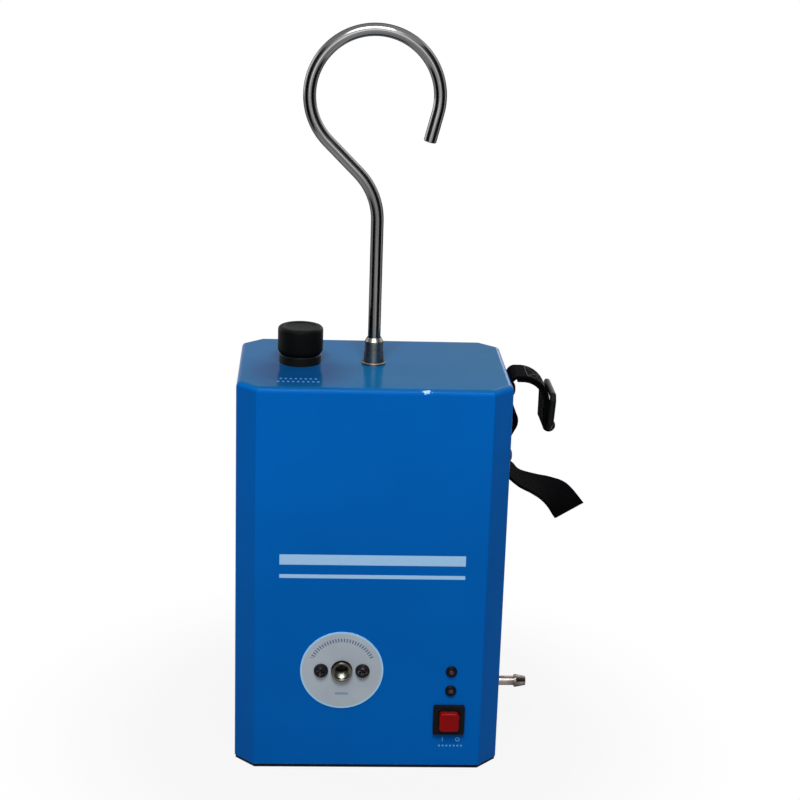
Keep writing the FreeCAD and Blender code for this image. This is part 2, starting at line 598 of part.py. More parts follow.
def build_port():
    """The threaded socket that a gauge screws into."""
    plate = turned("port_plate", rectangle("port_wide / 2 + hole_slack", "0", "plate_wide / 2",
                                           "plate_thick"))
    pocket(plate, "plate_thick", circles=[(f"{side}port_screw_spacing / 2", "0",
                                           "screw_large + 2 * hole_slack") for side in ("", "-")],
           forward=True)
    keep(place(plate, ("port_x", FRONT_FACE, "port_z"), FRONT), "port_plate")
    body = new_body("gauge_port")
    back = "sheet + port_flange_thick"
    mouth = "plate_thick + port_proud"
    corner = "port_flange_high / 4"
    pad(body, "port_flange_thick", [cut_corners("port_flange_wide", "port_flange_high", corner)],
        lift=f"-({back})")
    pad(body, f"sheet + {mouth}", circles=[("0", "0", "port_wide")], lift="-sheet")
    pad(body, "port_nose_long", circles=[("0", "0", "port_nose_wide")],
        lift=f"-({back}) - port_nose_long")
    spigot_top = "port_nose_wide / 2 + port_spigot_high"
    pad(body, spigot_top, circles=[("0", "-port_spigot_back", "spigot_wide")],
        plane="XZ_Plane", back=True)
    pocket(body, "port_bore_deep", circles=[("0", "0", "port_bore")], lift=mouth)
    pocket(body, f"port_spigot_back - (port_bore_deep - ({mouth})) + hose_passage / 2",
           circles=[("0", "0", "hose_passage")], lift=f"{mouth} - port_bore_deep")
    pocket(body, spigot_top, circles=[("0", "-port_spigot_back", "hose_passage")],
           plane="XZ_Plane")
    pocket(body, "port_flange_thick", circles=[
        (f"{side}port_screw_spacing / 2", "0", "screw_large + 2 * hole_slack")
        for side in ("", "-")], lift="-sheet")
    keep(place(body, ("port_x", FRONT_FACE, "port_z"), FRONT), "gauge_port")
    screw = pan_screw("port_screw_master", "screw_large", "head_large", "head_large_high",
                      "plate_thick + sheet + port_flange_thick - port_screw_short")
    group("port_screws", screw, [(f"port_x {side} port_screw_spacing / 2",
                                  f"{FRONT_FACE} - plate_thick", "port_z") for side in "+-"],
          FRONT)


# Indicator lamps

def lamp_places(depth):
    """Where the two lamps lie on the front face."""
    return [("lamp_x", depth, f"lamp_z - {step} * lamp_pitch") for step in range(2)]


def build_lamps():
    """Two lamp holders with their lenses and nuts."""
    inside = "lamp_lens / 2 + running_gap"
    bezel = turned("lamp_bezel_master", [
        (inside, "-lamp_long"), ("lamp_barrel / 2", "-lamp_long"), ("lamp_barrel / 2", "0"),
        ("lamp_bezel / 2", "0"), ("lamp_bezel / 2", "lamp_rim"),
        ("lamp_bezel / 2 - lamp_slope", "lamp_proud"), (inside, "lamp_proud")])
    group("lamp_bezels", bezel, lamp_places(FRONT_FACE), FRONT)
    lens = turned("lamp_lens_master", [
        ("0", "-lamp_long"), ("lamp_lens / 2", "-lamp_long"), ("lamp_lens / 2", "lamp_proud"),
        ("lamp_lens * 0.4", "lamp_proud + lens_dome * 0.6"),
        ("lamp_lens * 0.2", "lamp_proud + lens_dome * 0.9"), ("0", "lamp_proud + lens_dome")])
    group("lamp_lenses", lens, lamp_places(FRONT_FACE), FRONT)
    ring = new_body("lamp_nut_master")
    pad(ring, "lamp_nut_thick", [hexagon("lamp_nut_flats")],
        [("0", "0", "lamp_barrel + 2 * hole_slack")])
    group("lamp_nuts", ring, lamp_places(FRONT_INNER), REAR)


# Push button

def build_switch():
    """The square-headed push button, with its barrel, nut, spring and contacts."""
    at = ("switch_x", FRONT_FACE, "switch_z")
    bezel = new_body("switch_bezel")
    pad(bezel, "bezel_proud", [centred("bezel_size", "bezel_size")])
    corner = size("bezel_proud")
    round_edges(bezel, "bezel_round", lambda box: abs(box.ZLength - corner) < 1e-4)
    pad(bezel, "barrel_long", circles=[("0", "0", "barrel_wide")], lift="-barrel_long")
    pocket(bezel, "pocket_deep", [centred("button_size + 2 * button_gap",
                                          "button_size + 2 * button_gap")], lift="bezel_proud")
    floor = "bezel_proud - pocket_deep"
    pocket(bezel, "stem_guide", circles=[("0", "0", "button_stem + 2 * running_gap")], lift=floor)
    pocket(bezel, f"barrel_long + {floor} - stem_guide", circles=[("0", "0", "barrel_bore")],
           lift=f"{floor} - stem_guide")
    keep(place(bezel, at, FRONT), "switch_bezel")
    button = new_body("switch_button")
    face = "bezel_proud + button_proud"
    pad(button, "button_thick", [centred("button_size", "button_size")],
        lift=f"{face} - button_thick")
    thick = size("button_thick")
    round_edges(button, "button_round", lambda box: abs(box.ZLength - thick) < 1e-4)
    top = size("bezel_proud") + size("button_proud") - 1e-4
    round_edges(button, "button_crown", lambda box: box.ZMin > top)
    pad(button, "button_stem_long", circles=[("0", "0", "button_stem")],
        lift=f"{face} - button_thick - button_stem_long")
    keep(place(button, at, FRONT), "switch_button")
    stem_end = f"{face} - button_thick - button_stem_long"
    spring = turned("switch_spring", rectangle(
        "spring_wide / 2 - spring_wire", "-barrel_long", "spring_wide / 2", stem_end))
    keep(place(spring, at, FRONT), "switch_spring")
    nut("switch_nut", "switch_nut_flats", "switch_nut_thick", "barrel_wide",
        ("switch_x", FRONT_INNER, "switch_z"), REAR)
    contacts = new_body("switch_contacts")
    pad(contacts, "contacts_long", [centred("contacts_size", "contacts_size")],
        lift="-barrel_long - contacts_long")
    pad(contacts, "blade_long", [centred("blade_thick", "blade_wide", f"{side}blade_pitch / 2")
                                 for side in ("", "-")],
        lift="-barrel_long - contacts_long - blade_long")
    keep(place(contacts, at, FRONT), "switch_contacts")


# Smoke outlet

def build_outlet():
    """The barbed fitting in the right side, with its elbow inside."""
    at = ("case_width / 2", "0", "outlet_z")
    end = "-outlet_shank_long"
    bore = "outlet_bore / 2"
    body = turned("smoke_outlet", [
        ("0", end), ("outlet_shank / 2", end), ("outlet_shank / 2", "0"),
        ("outlet_hex / 2", "0"), ("outlet_hex / 2", "outlet_hex_thick"),
        ("outlet_stem / 2", "outlet_hex_thick"), ("outlet_stem / 2", "barb_start"),
        ("barb_wide / 2", "barb_start"), ("barb_wide / 2", "barb_start + barb_land"),
        ("outlet_stem / 2 - barb_taper", "outlet_reach"), (bore, "outlet_reach"),
        (bore, "-outlet_spigot_in"), ("0", "-outlet_spigot_in")])
    pad(body, "outlet_hex_thick", [hexagon("outlet_hex")],
        [("0", "0", "outlet_stem")])
    pad(body, "outlet_spigot_high", circles=[("0", "-outlet_spigot_in", "spigot_wide")],
        plane="YZ_Plane", back=True)
    pocket(body, "outlet_spigot_high", circles=[("0", "-outlet_spigot_in", "hose_passage")],
           plane="YZ_Plane")
    keep(place(body, at, RIGHT), "smoke_outlet")
    nut("outlet_nut", "outlet_nut_flats", "outlet_nut_thick", "outlet_shank",
        ("case_width / 2 - sheet", "0", "outlet_z"), LEFT)


# Strap and ring

STRAP_TAIL = [
    # Out from the lower screw's run, up or down from it, swing and rise of the width in degrees
    (0, -6, 0, 0), (3, -9, 9, 1), (8.4, -13.8, 5, 3), (16.9, -17.1, 11, 6),
    (24.1, -19.8, 19, 12), (31.1, -24, 33, 16), (38.6, -33.3, 48, 8),
]


def beside(points, radii, gap):
    """The points and radii of a run in the XZ plane, moved sideways by a gap."""
    across = Vector(0, 1, 0)
    headings = [(after - before).normalize() for before, after in zip(points, points[1:])]
    sides = [heading.cross(across) for heading in headings]
    moved = [points[0] + sides[0] * gap]
    moved_radii = []
    for step, radius in enumerate(radii):
        middle = (sides[step] + sides[step + 1]).normalize()
        moved.append(points[step + 1] + middle * (gap / middle.dot(sides[step])))
        turn = headings[step].cross(headings[step + 1]).dot(across)
        moved_radii.append(radius + math.copysign(gap, gap * turn))
    moved.append(points[-1] + sides[-1] * gap)
    return moved, moved_radii


def strap_tail(seat_x):
    """The free end, which twists as it hangs out and down."""
    width = size("strap_wide") / 2
    thick = size("strap_thick") / 2
    low = size("strap_low_screw")
    middles = [Vector(seat_x + out, 0, low + up) for out, up, _, _ in STRAP_TAIL]
    before = middles[0] + Vector(0, 0, 1)
    sections = []
    for middle, after, station in zip(middles, middles[1:] + [None], STRAP_TAIL):
        swing = math.radians(station[2])
        rise = math.radians(station[3])
        across = Vector(math.sin(swing) * math.cos(rise), math.cos(swing) * math.cos(rise),
                        math.sin(rise))
        ahead = (after if after else middle) - before
        normal = ahead.cross(across).normalize()
        if station is STRAP_TAIL[0]:
            normal = Vector(1, 0, 0)
        side = across * width
        step = normal * thick
        sections.append(Part.makePolygon([
            middle + side + step, middle - side + step, middle - side - step,
            middle + side - step, middle + side + step]))
        before = middle
    return Part.makeLoft(sections, True, False)


def ring_bar_x():
    """How far out the ring's lower bar lies."""
    loop = size("ring_bar") / 2 + size("ring_bar_gap") + size("strap_thick")
    return size("case_width") / 2 + size("strap_drop_x") - size("strap_thick") + loop


def strap_side(seat_x, layers, gap):
    """One side of the strap's run up the wall, out along the arm and down to the ring."""
    low = size("strap_low_screw")
    flat_low = low + size("strap_flat_above")
    flat_high = size("strap_high_screw") - size("strap_flat_below")
    bow = size("strap_bow_round")
    arm = size("strap_arm") + layers
    drop_x = size("case_width") / 2 + size("strap_drop_x") + layers
    run = [Vector(seat_x, 0, low - size("strap_tail_start")), Vector(seat_x, 0, flat_low),
           Vector(seat_x + size("strap_slack"), 0, (flat_low + flat_high) / 2),
           Vector(seat_x, 0, flat_high), Vector(seat_x, 0, arm), Vector(drop_x, 0, arm),
           Vector(drop_x, 0, size("ring_bar_z"))]
    radii = [bow, bow, bow, size("strap_arm_round"), size("strap_drop_round") + layers]
    return beside(run, radii, gap)


def build_strap():
    """The webbing strap with its ring, two screws and two spacer washers."""
    wide = size("strap_wide")
    thick = size("strap_thick")
    seat_x = size("case_width") / 2 + size("strap_seat") + thick / 2
    low = size("strap_low_screw")
    high = size("strap_high_screw")
    hole = size("ring_bar") / 2 + size("ring_bar_gap")
    centre = Vector(ring_bar_x(), 0, size("ring_bar_z"))
    outer_points, outer_radii = strap_side(seat_x, thick / 2, thick / 2)
    inner_points, inner_radii = strap_side(seat_x, -thick / 2, -thick / 2)
    set_in = centre.x - outer_points[-1].x
    outer_points[-1].z = centre.z + math.sqrt((hole + thick) ** 2 - set_in ** 2)
    fold = Part.Arc(outer_points[-1], centre - Vector(0, 0, hole + thick), inner_points[-1])
    end = Part.LineSegment(inner_points[0], outer_points[0])
    edges = route(outer_points, *outer_radii).Edges + route(inner_points, *inner_radii).Edges
    outline = Part.Wire(Part.__sortEdges__(edges + [fold.toShape(), end.toShape()]))
    band = Part.Face(outline)
    band.translate(Vector(0, -wide / 2, 0))
    bore = Part.makeCylinder(hole, wide, centre - Vector(0, wide / 2, 0), Vector(0, 1, 0))
    shape = band.extrude(Vector(0, wide, 0)).cut(bore).fuse(strap_tail(seat_x))
    screw_hole = size("screw_large") / 2 + size("hole_slack")
    for height in (low, high):
        shape = shape.cut(Part.makeCylinder(screw_hole, 2 * thick, Vector(
            seat_x - thick, 0, height), Vector(1, 0, 0)))
    strap = document.addObject("Part::Feature", "strap")
    strap.Shape = shape
    keep(strap, "strap")
    spacer = turned("strap_washer_master", rectangle(
        "screw_large / 2 + hole_slack", "0", "strap_washer / 2", "strap_seat"))
    heights = ["strap_low_screw", "strap_high_screw"]
    group("strap_washers", spacer, [("case_width / 2", "0", height) for height in heights], RIGHT)
    screw = pan_screw("strap_screw_master", "screw_large", "head_large", "head_large_high",
                      "strap_seat + strap_thick + sheet + strap_screw_past")
    group("strap_screws", screw, [("case_width / 2 + strap_seat + strap_thick", "0", height)
                                  for height in heights], RIGHT)
    ring = new_body("strap_ring")
    edge = "ring_bar / 2"
    half = "ring_wide / 2"
    cut = "ring_bar"
    outline = [(f"-{half} + {cut}", f"-{edge}"), (f"{half} - {cut}", f"-{edge}"),
               (half, f"{cut} - {edge}"), (half, f"ring_tall + {edge} - {cut}"),
               (f"{half} - {cut}", f"ring_tall + {edge}"),
               (f"-{half} + {cut}", f"ring_tall + {edge}"),
               (f"-{half}", f"ring_tall + {edge} - {cut}"), (f"-{half}", f"{cut} - {edge}")]
    window = rectangle(f"-{half} + ring_bar", edge, f"{half} - ring_bar", f"ring_tall - {edge}")
    pad(ring, "ring_bar", [outline, window], plane="YZ_Plane", lift="-ring_bar / 2")
    bar = size("ring_bar")
    round_edges(ring, "ring_bar / 2", lambda box: abs(box.XLength - bar) < 1e-4)
    round_edges(ring, "ring_bar * ring_round_share", lambda box: box.XLength < 1e-4)
    tilt = Rotation(Vector(0, 1, 0), size("ring_tilt"))
    across = "case_width / 2 + strap_drop_x + ring_bar / 2 + ring_bar_gap"
    keep(place(ring, (across, "0", "ring_bar_z"), tilt), "strap_ring")


# Power socket

def build_socket():
    """The supply socket in the rear cover."""
    at = ("socket_x", "case_depth / 2 + cover_thick", "socket_z")
    bore = "socket_bore / 2"
    body = turned("power_socket", [
        (bore, "-socket_inner"), ("socket_shank / 2", "-socket_inner"),
        ("socket_shank / 2", "0"), ("socket_flange / 2", "0"),
        ("socket_flange / 2", "socket_flange_thick"), ("socket_thread / 2", "socket_flange_thick"),
        ("socket_thread / 2", "socket_long - thread_start"),
        ("socket_thread / 2 - thread_start", "socket_long"),
        (bore, "socket_long")])
    keep(place(body, at, REAR), "power_socket")
    insulator = new_body("socket_insulator")
    pad(insulator, "socket_inner + socket_long - insulator_short", circles=[
        ("0", "0", "socket_bore - 2 * hole_slack"),
        *[(f"{side}pin_pitch / 2", "0", "pin_wide + 2 * running_gap") for side in ("", "-")]],
        lift="-socket_inner")
    keep(place(insulator, at, REAR), "socket_insulator")
    pin = turned("socket_pin_master", [
        ("0", "-socket_inner - pin_tail"), ("pin_wide / 2", "-socket_inner - pin_tail"),
        ("pin_wide / 2", "socket_long - pin_short - edge_break"),
        ("pin_wide / 2 - edge_break", "socket_long - pin_short"),
        ("0", "socket_long - pin_short")])
    group("socket_pins", pin, [(f"socket_x {side} pin_pitch / 2", at[1], "socket_z")
                               for side in "+-"], REAR)
    nut("socket_nut", "socket_nut_flats", "socket_nut_thick", "socket_shank",
        ("socket_x", "case_depth / 2", "socket_z"), FRONT)


# Chassis plate

def build_chassis():
    """The upright plate that carries the pump, the board and the tank's clamp."""
    body = new_body("chassis_plate")
    pad(body, "sheet", [rectangle("chassis_front", "base_thick", "chassis_rear", "chassis_high")],
        plane="YZ_Plane", lift="chassis_x")
    pad(body, "sheet", [rectangle("chassis_x", "chassis_front",
                                  "chassis_x + sheet + chassis_foot", "chassis_rear")],
        lift="base_thick")
    pad(body, "chassis_boss_high", circles=[(x, y, "chassis_boss") for x, y, _ in foot_places("0")],
        lift="base_thick + sheet")
    pocket(body, "chassis_high", circles=[(x, y, "screw_small + 2 * hole_slack")
                                          for x, y, _ in foot_places("0")], forward=True)
    screws = [(y, z, "screw_small + 2 * hole_slack") for y, z in clamp_screw_places()]
    pocket(body, "sheet + 2 * cut_over", circles=screws + [("lead_y", "lead_z", "chassis_hole")],
           plane="YZ_Plane", lift="chassis_x - cut_over", forward=True)
    keep(body, "chassis_plate")


def clamp_screw_places():
    """Where the clamps' screws pass through the chassis plate, across and up."""
    tank = [(f"tank_y {side} clamp_lug / 4", "clamp_z + clamp_high / 2") for side in "+-"]
    pump = [(f"pump_y {side} clamp_lug / 4", "pump_low + pump_clamp_rise + clamp_high / 2") for side in "+-"]
    return tank + pump


def clamp(label, at, radius, reach, turn):
    """A band round a cylinder, with a lug that meets the chassis plate."""
    body = new_body(label)
    inner = f"2 * ({radius} + hole_slack)"
    outer = f"2 * ({radius} + hole_slack + clamp_thick)"
    pad(body, "clamp_high", circles=[("0", "0", outer), ("0", "0", inner)])
    near = f"{radius} + hole_slack + clamp_bite"
    pad(body, "clamp_high", [rectangle(near, "-clamp_lug / 2", reach, "clamp_lug / 2")])
    holes = [(f"{side}clamp_lug / 4", "clamp_high / 2", "screw_small + 2 * hole_slack")
             for side in ("", "-")]
    pocket(body, f"{reach} - ({near}) + clamp_bite", circles=holes, plane="YZ_Plane", lift=reach)
    return keep(place(body, at, turn), label)


# Oil tank

LID_TOP = "base_thick + tank_high + tank_gasket_thick + tank_lid_thick"


def lid_screw_spots():
    """Where the lid screws lie about the tank's axis."""
    count = int(size("lid_screw_count"))
    return [(f"lid_screw_circle / 2 * cos(360 / lid_screw_count * {step} + lid_screw_turn)",
             f"lid_screw_circle / 2 * sin(360 / lid_screw_count * {step} + lid_screw_turn)")
            for step in range(count)]


def lid_spigots():
    """The lid's three spigots: centre and outer and inner widths."""
    return [("filler_x - tank_x", "filler_y - tank_y", "neck_spigot", "filler_passage"),
            ("port_x - tank_x", "-tank_y", "spigot_wide", "hose_passage"),
            ("air_x - tank_x", "pump_y - tank_y", "spigot_wide", "hose_passage")]


def build_tank():
    """The oil tank, its lid, its heater and its clamp."""
    outer = "tank_wide / 2"
    inner = "tank_wide / 2 - tank_wall"
    flange = "tank_flange / 2"
    step = "tank_high - tank_flange_thick"
    hole = "screw_small + 2 * hole_slack"
    screw_holes = [(x, y, hole) for x, y in lid_screw_spots()]
    at = ("tank_x", "tank_y", "base_thick")
    tank = turned("oil_tank", [
        ("0", "0"), (outer, "0"), (outer, step), (flange, step), (flange, "tank_high"),
        (inner, "tank_high"), (inner, "tank_wall"), ("0", "tank_wall")])
    pocket(tank, "tank_flange_thick", circles=screw_holes, lift="tank_high")
    keep(place(tank, at), "oil_tank")
    gasket = new_body("tank_gasket")
    pad(gasket, "tank_gasket_thick",
        circles=[("0", "0", "tank_flange"), ("0", "0", f"2 * ({inner})")] + screw_holes)
    keep(place(gasket, ("tank_x", "tank_y", "base_thick + tank_high")), "tank_gasket")
    lid = new_body("tank_lid")
    pad(lid, "tank_lid_thick", circles=[("0", "0", "tank_flange")] + screw_holes)
    for x, y, wide, _ in lid_spigots():
        pad(lid, "tank_lid_thick + lid_spigot_high", circles=[(x, y, wide)])
    pocket(lid, "tank_lid_thick + lid_spigot_high + cut_over",
           circles=[(x, y, passage) for x, y, _, passage in lid_spigots()]
           + [("heater_x - tank_x", "heater_y - tank_y", "heater_stem + 2 * hole_slack")],
           forward=True)
    lid_low = "base_thick + tank_high + tank_gasket_thick"
    keep(place(lid, ("tank_x", "tank_y", lid_low)), "tank_lid")
    heater = turned("heater_plug", [
        ("0", "-heater_long"), ("heater_stem / 2", "-heater_long"), ("heater_stem / 2", "0"),
        ("heater_hex / 2", "0"), ("heater_hex / 2", "heater_hex_high"),
        ("heater_post / 2", "heater_hex_high"),
        ("heater_post / 2", "heater_hex_high + heater_post_high"),
        ("0", "heater_hex_high + heater_post_high")])
    pad(heater, "heater_hex_high", [hexagon("heater_hex")])
    keep(place(heater, ("heater_x", "heater_y", LID_TOP)), "heater_plug")
    clamp("tank_clamp", ("tank_x", "tank_y", "clamp_z"), "tank_wide / 2", "chassis_x - tank_x", UP)


# Air pump

def build_pump():
    """The diaphragm pump: motor can, rotor, head and bracket."""
    at = ("pump_x", "pump_y", "pump_low")
    bore = "rotor_shaft / 2 + running_gap"
    wall = "motor_wall"
    inner = "motor_wide / 2 - motor_wall"
    can = turned("pump_motor", [
        ("0", "0"), ("motor_wide / 2", "0"), ("motor_wide / 2", "motor_high"),
        (bore, "motor_high"), (bore, f"motor_high - {wall}"), (inner, f"motor_high - {wall}"),
        (inner, wall), ("0", wall)])
    keep(place(can, at), "pump_motor")
    shaft = "rotor_shaft / 2"
    low = "(motor_high - rotor_high) / 2"
    crank = "motor_high + fit_gap"
    rotor = turned("pump_rotor", [
        ("0", f"{wall} + fit_gap"), (shaft, f"{wall} + fit_gap"), (shaft, low),
        ("rotor_wide / 2", low), ("rotor_wide / 2", f"{low} + rotor_high"),
        (shaft, f"{low} + rotor_high"), (shaft, crank), ("crank_wide / 2", crank),
        ("crank_wide / 2", f"{crank} + crank_high"), ("0", f"{crank} + crank_high")])
    keep(place(rotor, at), "pump_rotor")
    head = new_body("pump_head")
    pad(head, "pump_head_high", [cut_corners("pump_head_size", "pump_head_size", "pump_head_corner")],
        lift="motor_high")
    pad(head, "pump_head_high + pump_spigot_high", circles=[("0", "0", "spigot_wide")],
        lift="motor_high")
    inlet = "motor_high + pump_inlet_rise"
    pad(head, "pump_head_size / 2 + pump_inlet_long", circles=[("0", inlet, "spigot_wide")],
        plane="YZ_Plane")
    pocket(head, "crank_high + 2 * fit_gap", circles=[("0", "0", "crank_wide + 2 * crank_room")],
           lift="motor_high", forward=True)
    pocket(head, "pump_spigot_high + pump_head_high - pump_inlet_rise",
           circles=[("0", "0", "hose_passage")],
           lift="motor_high + pump_head_high + pump_spigot_high")
    pocket(head, "pump_head_size / 2 + pump_inlet_long + cut_over",
           circles=[("0", inlet, "hose_passage")], plane="YZ_Plane", forward=True)
    keep(place(head, at), "pump_head")
    turn = Rotation(Vector(0, 0, 1), 180)
    clamp("pump_clamp", ("pump_x", "pump_y", "pump_low + pump_clamp_rise"), "motor_wide / 2",
          "pump_x - chassis_x - sheet", turn)


# Control board

BOARD_X = "chassis_x + sheet + board_gap"
BOARD_FACE = "chassis_x + sheet + board_gap + board_thick"


def board_corners():
    """Where the board's screws lie, across and up."""
    inset = "board_screw_inset"
    return [(y, z) for y in (f"board_front + {inset}", f"board_rear - {inset}")
            for z in (f"board_low + {inset}", f"board_high - {inset}")]


def build_board():
    """The control board on its standoffs, with its larger parts."""
    hole = "screw_small + 2 * hole_slack"
    board = new_body("control_board")
    pad(board, "board_thick",
        [rectangle("board_front", "board_low", "board_rear", "board_high")],
        [(y, z, hole) for y, z in board_corners()], plane="YZ_Plane", lift=BOARD_X)
    keep(board, "control_board")
    standoff = new_body("standoff_master")
    pad(standoff, "board_gap", [hexagon("standoff_wide")], [("0", "0", hole)])
    group("board_standoffs", standoff,
          [("chassis_x + sheet", y, z) for y, z in board_corners()], RIGHT)
    screw = pan_screw("inner_screw_master", "screw_small", "head_small", "head_small_high",
                      "inner_screw_long")
    tank_side, pump_side = clamp_screw_places()[:2], clamp_screw_places()[2:]
    lid = [(f"tank_x + {x}", f"tank_y + {y}", LID_TOP) for x, y in lid_screw_spots()]
    right = [(BOARD_FACE, y, z) for y, z in board_corners()]
    right += [("chassis_x + sheet", y, z) for y, z in tank_side]
    left = [("chassis_x", y, z) for y, z in pump_side]
    group("inner_screws", screw, lid + right + left,
          *[UP] * len(lid), *[RIGHT] * len(right), LEFT)
    relay = new_body("relay")
    pad(relay, "relay_high", [centred("relay_wide", "relay_long", "relay_y", "relay_z")],
        plane="YZ_Plane", lift=BOARD_FACE)
    keep(relay, "relay")
    can = turned("capacitor", [
        ("0", "0"), ("capacitor_wide / 2", "0"),
        ("capacitor_wide / 2", "capacitor_groove - edge_break"),
        ("capacitor_wide / 2 - edge_break", "capacitor_groove"),
        ("capacitor_wide / 2", "capacitor_groove + edge_break"),
        ("capacitor_wide / 2", "capacitor_high - edge_break"),
        ("capacitor_wide / 2 - edge_break", "capacitor_high"), ("0", "capacitor_high")])
    keep(place(can, (BOARD_FACE, "capacitor_y", "capacitor_z"), RIGHT), "capacitor")
    block = new_body("terminal_block")
    pad(block, "terminal_high", [centred("terminal_long", "terminal_deep", "terminal_y",
                                         "socket_z")], plane="YZ_Plane", lift=BOARD_FACE)
    spots = [(f"terminal_y {side} terminal_pitch / 2", "socket_z", "terminal_hole")
             for side in "+-"]
    pocket(block, "terminal_hole_deep", circles=spots, plane="YZ_Plane", lift=f"{BOARD_FACE} + terminal_high")
    keep(block, "terminal_block")


# Hoses, their fittings and clips, and the leads

def build_fittings():
    """The tee in the smoke line and the check valve in the air line."""
    tee = turned("smoke_tee", [
        ("0", "-tee_run / 2"), ("spigot_wide / 2", "-tee_run / 2"),
        ("spigot_wide / 2", "-tee_body / 2"), ("tee_body / 2", "-tee_body / 2"),
        ("tee_body / 2", "tee_body / 2"), ("spigot_wide / 2", "tee_body / 2"),
        ("spigot_wide / 2", "tee_run / 2"), ("0", "tee_run / 2")])
    pad(tee, "tee_branch", circles=[("0", "0", "spigot_wide")], plane="XZ_Plane")
    pocket(tee, "tee_run", circles=[("0", "0", "hose_passage")], lift="tee_run / 2")
    pocket(tee, "tee_branch", circles=[("0", "0", "hose_passage")], plane="XZ_Plane",
           forward=True)
    keep(place(tee, ("port_x", "0", "tee_z")), "smoke_tee")
    half = "valve_long / 2"
    barrel = "valve_barrel / 2"
    valve = turned("check_valve", [
        ("hose_passage / 2", f"-{half}"), ("spigot_wide / 2", f"-{half}"),
        ("spigot_wide / 2", f"-{barrel}"), ("valve_body / 2", f"-{barrel}"),
        ("valve_body / 2", barrel), ("spigot_wide / 2", barrel), ("spigot_wide / 2", half),
        ("hose_passage / 2", half)])
    keep(place(valve, ("air_x", "pump_y", "valve_z")), "check_valve")


def build_hoses():
    """Every hose, from one fitting's shoulder to the next, and the clips on them."""
    gap = size("fit_gap")
    lid_top = (size("base_thick") + size("tank_high") + size("tank_gasket_thick")
               + size("tank_lid_thick"))
    smoke_x = size("port_x")
    outlet_x = size("case_width") / 2 - size("outlet_spigot_in")
    tee_z = size("tee_z")
    shoulder = size("tee_body") / 2 + gap
    outlet_low = size("outlet_z") + size("outlet_shank") / 2 + gap
    smoke_lower = route([Vector(smoke_x, 0, lid_top + gap), Vector(smoke_x, 0, tee_z - shoulder)])
    half = (outlet_x - smoke_x) / 2
    arch = size("smoke_arch") + half
    smoke_upper = route([Vector(smoke_x, 0, tee_z + shoulder), Vector(smoke_x, 0, arch),
                         Vector(outlet_x, 0, arch), Vector(outlet_x, 0, outlet_low)], half, half)
    port_y = -size("case_depth") / 2 + size("port_spigot_back")
    port_low = size("port_z") + size("port_nose_wide") / 2 + gap
    gauge = route([Vector(smoke_x, port_y, port_low), Vector(smoke_x, port_y, tee_z),
                   Vector(smoke_x, -shoulder, tee_z)], -size("tee_branch") - size("hose_stub") - port_y)
    air_x = size("air_x")
    pump_x = size("pump_x")
    pump_y = size("pump_y")
    valve_z = size("valve_z")
    barrel = size("valve_barrel") / 2 + gap
    air_lower = route([Vector(air_x, pump_y, lid_top + gap),
                       Vector(air_x, pump_y, valve_z - barrel)])
    half = (pump_x - air_x) / 2
    arch = size("air_arch") + half
    head_top = size("pump_low") + size("motor_high") + size("pump_head_high") + gap
    air_upper = route([Vector(air_x, pump_y, valve_z + barrel), Vector(air_x, pump_y, arch),
                       Vector(pump_x, pump_y, arch), Vector(pump_x, pump_y, head_top)],
                      half, half)
    hoses("pressure_hoses", [smoke_lower, smoke_upper, gauge, air_lower, air_upper],
          size("hose_wide"), size("spigot_wide") + 2 * size("hose_slack"))
    neck_low = size("case_top") - size("sheet") - size("neck_reach")
    filler = (size("filler_x"), size("filler_y"))
    down = route([Vector(*filler, lid_top + gap),
                  Vector(*filler, neck_low + size("neck_spigot_long") - gap)])
    hoses("filler_hose", [down], size("filler_hose_wide"),
          size("neck_spigot") + 2 * size("hose_slack"))
    clip = turned("hose_clip_master", rectangle(
        "hose_wide / 2 + hose_slack", "0", "hose_wide / 2 + hose_slack + clip_thick",
        "clip_wide"))
    tee_low = "tee_z - tee_body / 2 - fit_gap - clip_set_back - clip_wide"
    tee_high = "tee_z + tee_body / 2 + fit_gap + clip_set_back"
    lid_clip = f"{LID_TOP} + fit_gap + clip_set_back"
    valve_low = "valve_z - valve_barrel / 2 - fit_gap - clip_set_back - clip_wide"
    valve_high = "valve_z + valve_barrel / 2 + fit_gap + clip_set_back"
    outlet_clip = "outlet_z + outlet_shank / 2 + fit_gap + clip_set_back"
    pump_clip = "pump_low + motor_high + pump_head_high + fit_gap + clip_set_back"
    port_clip = "port_z + port_nose_wide / 2 + fit_gap + clip_set_back"
    smoke_clips = [("port_x", "0", height) for height in (lid_clip, tee_low, tee_high)]
    air_clips = [("air_x", "pump_y", height) for height in (lid_clip, valve_low, valve_high)]
    ends = [("case_width / 2 - outlet_spigot_in", "0", outlet_clip),
            ("pump_x", "pump_y", pump_clip),
            ("port_x", "-case_depth / 2 + port_spigot_back", port_clip)]
    group("hose_clips", clip, smoke_clips + air_clips + ends, UP)


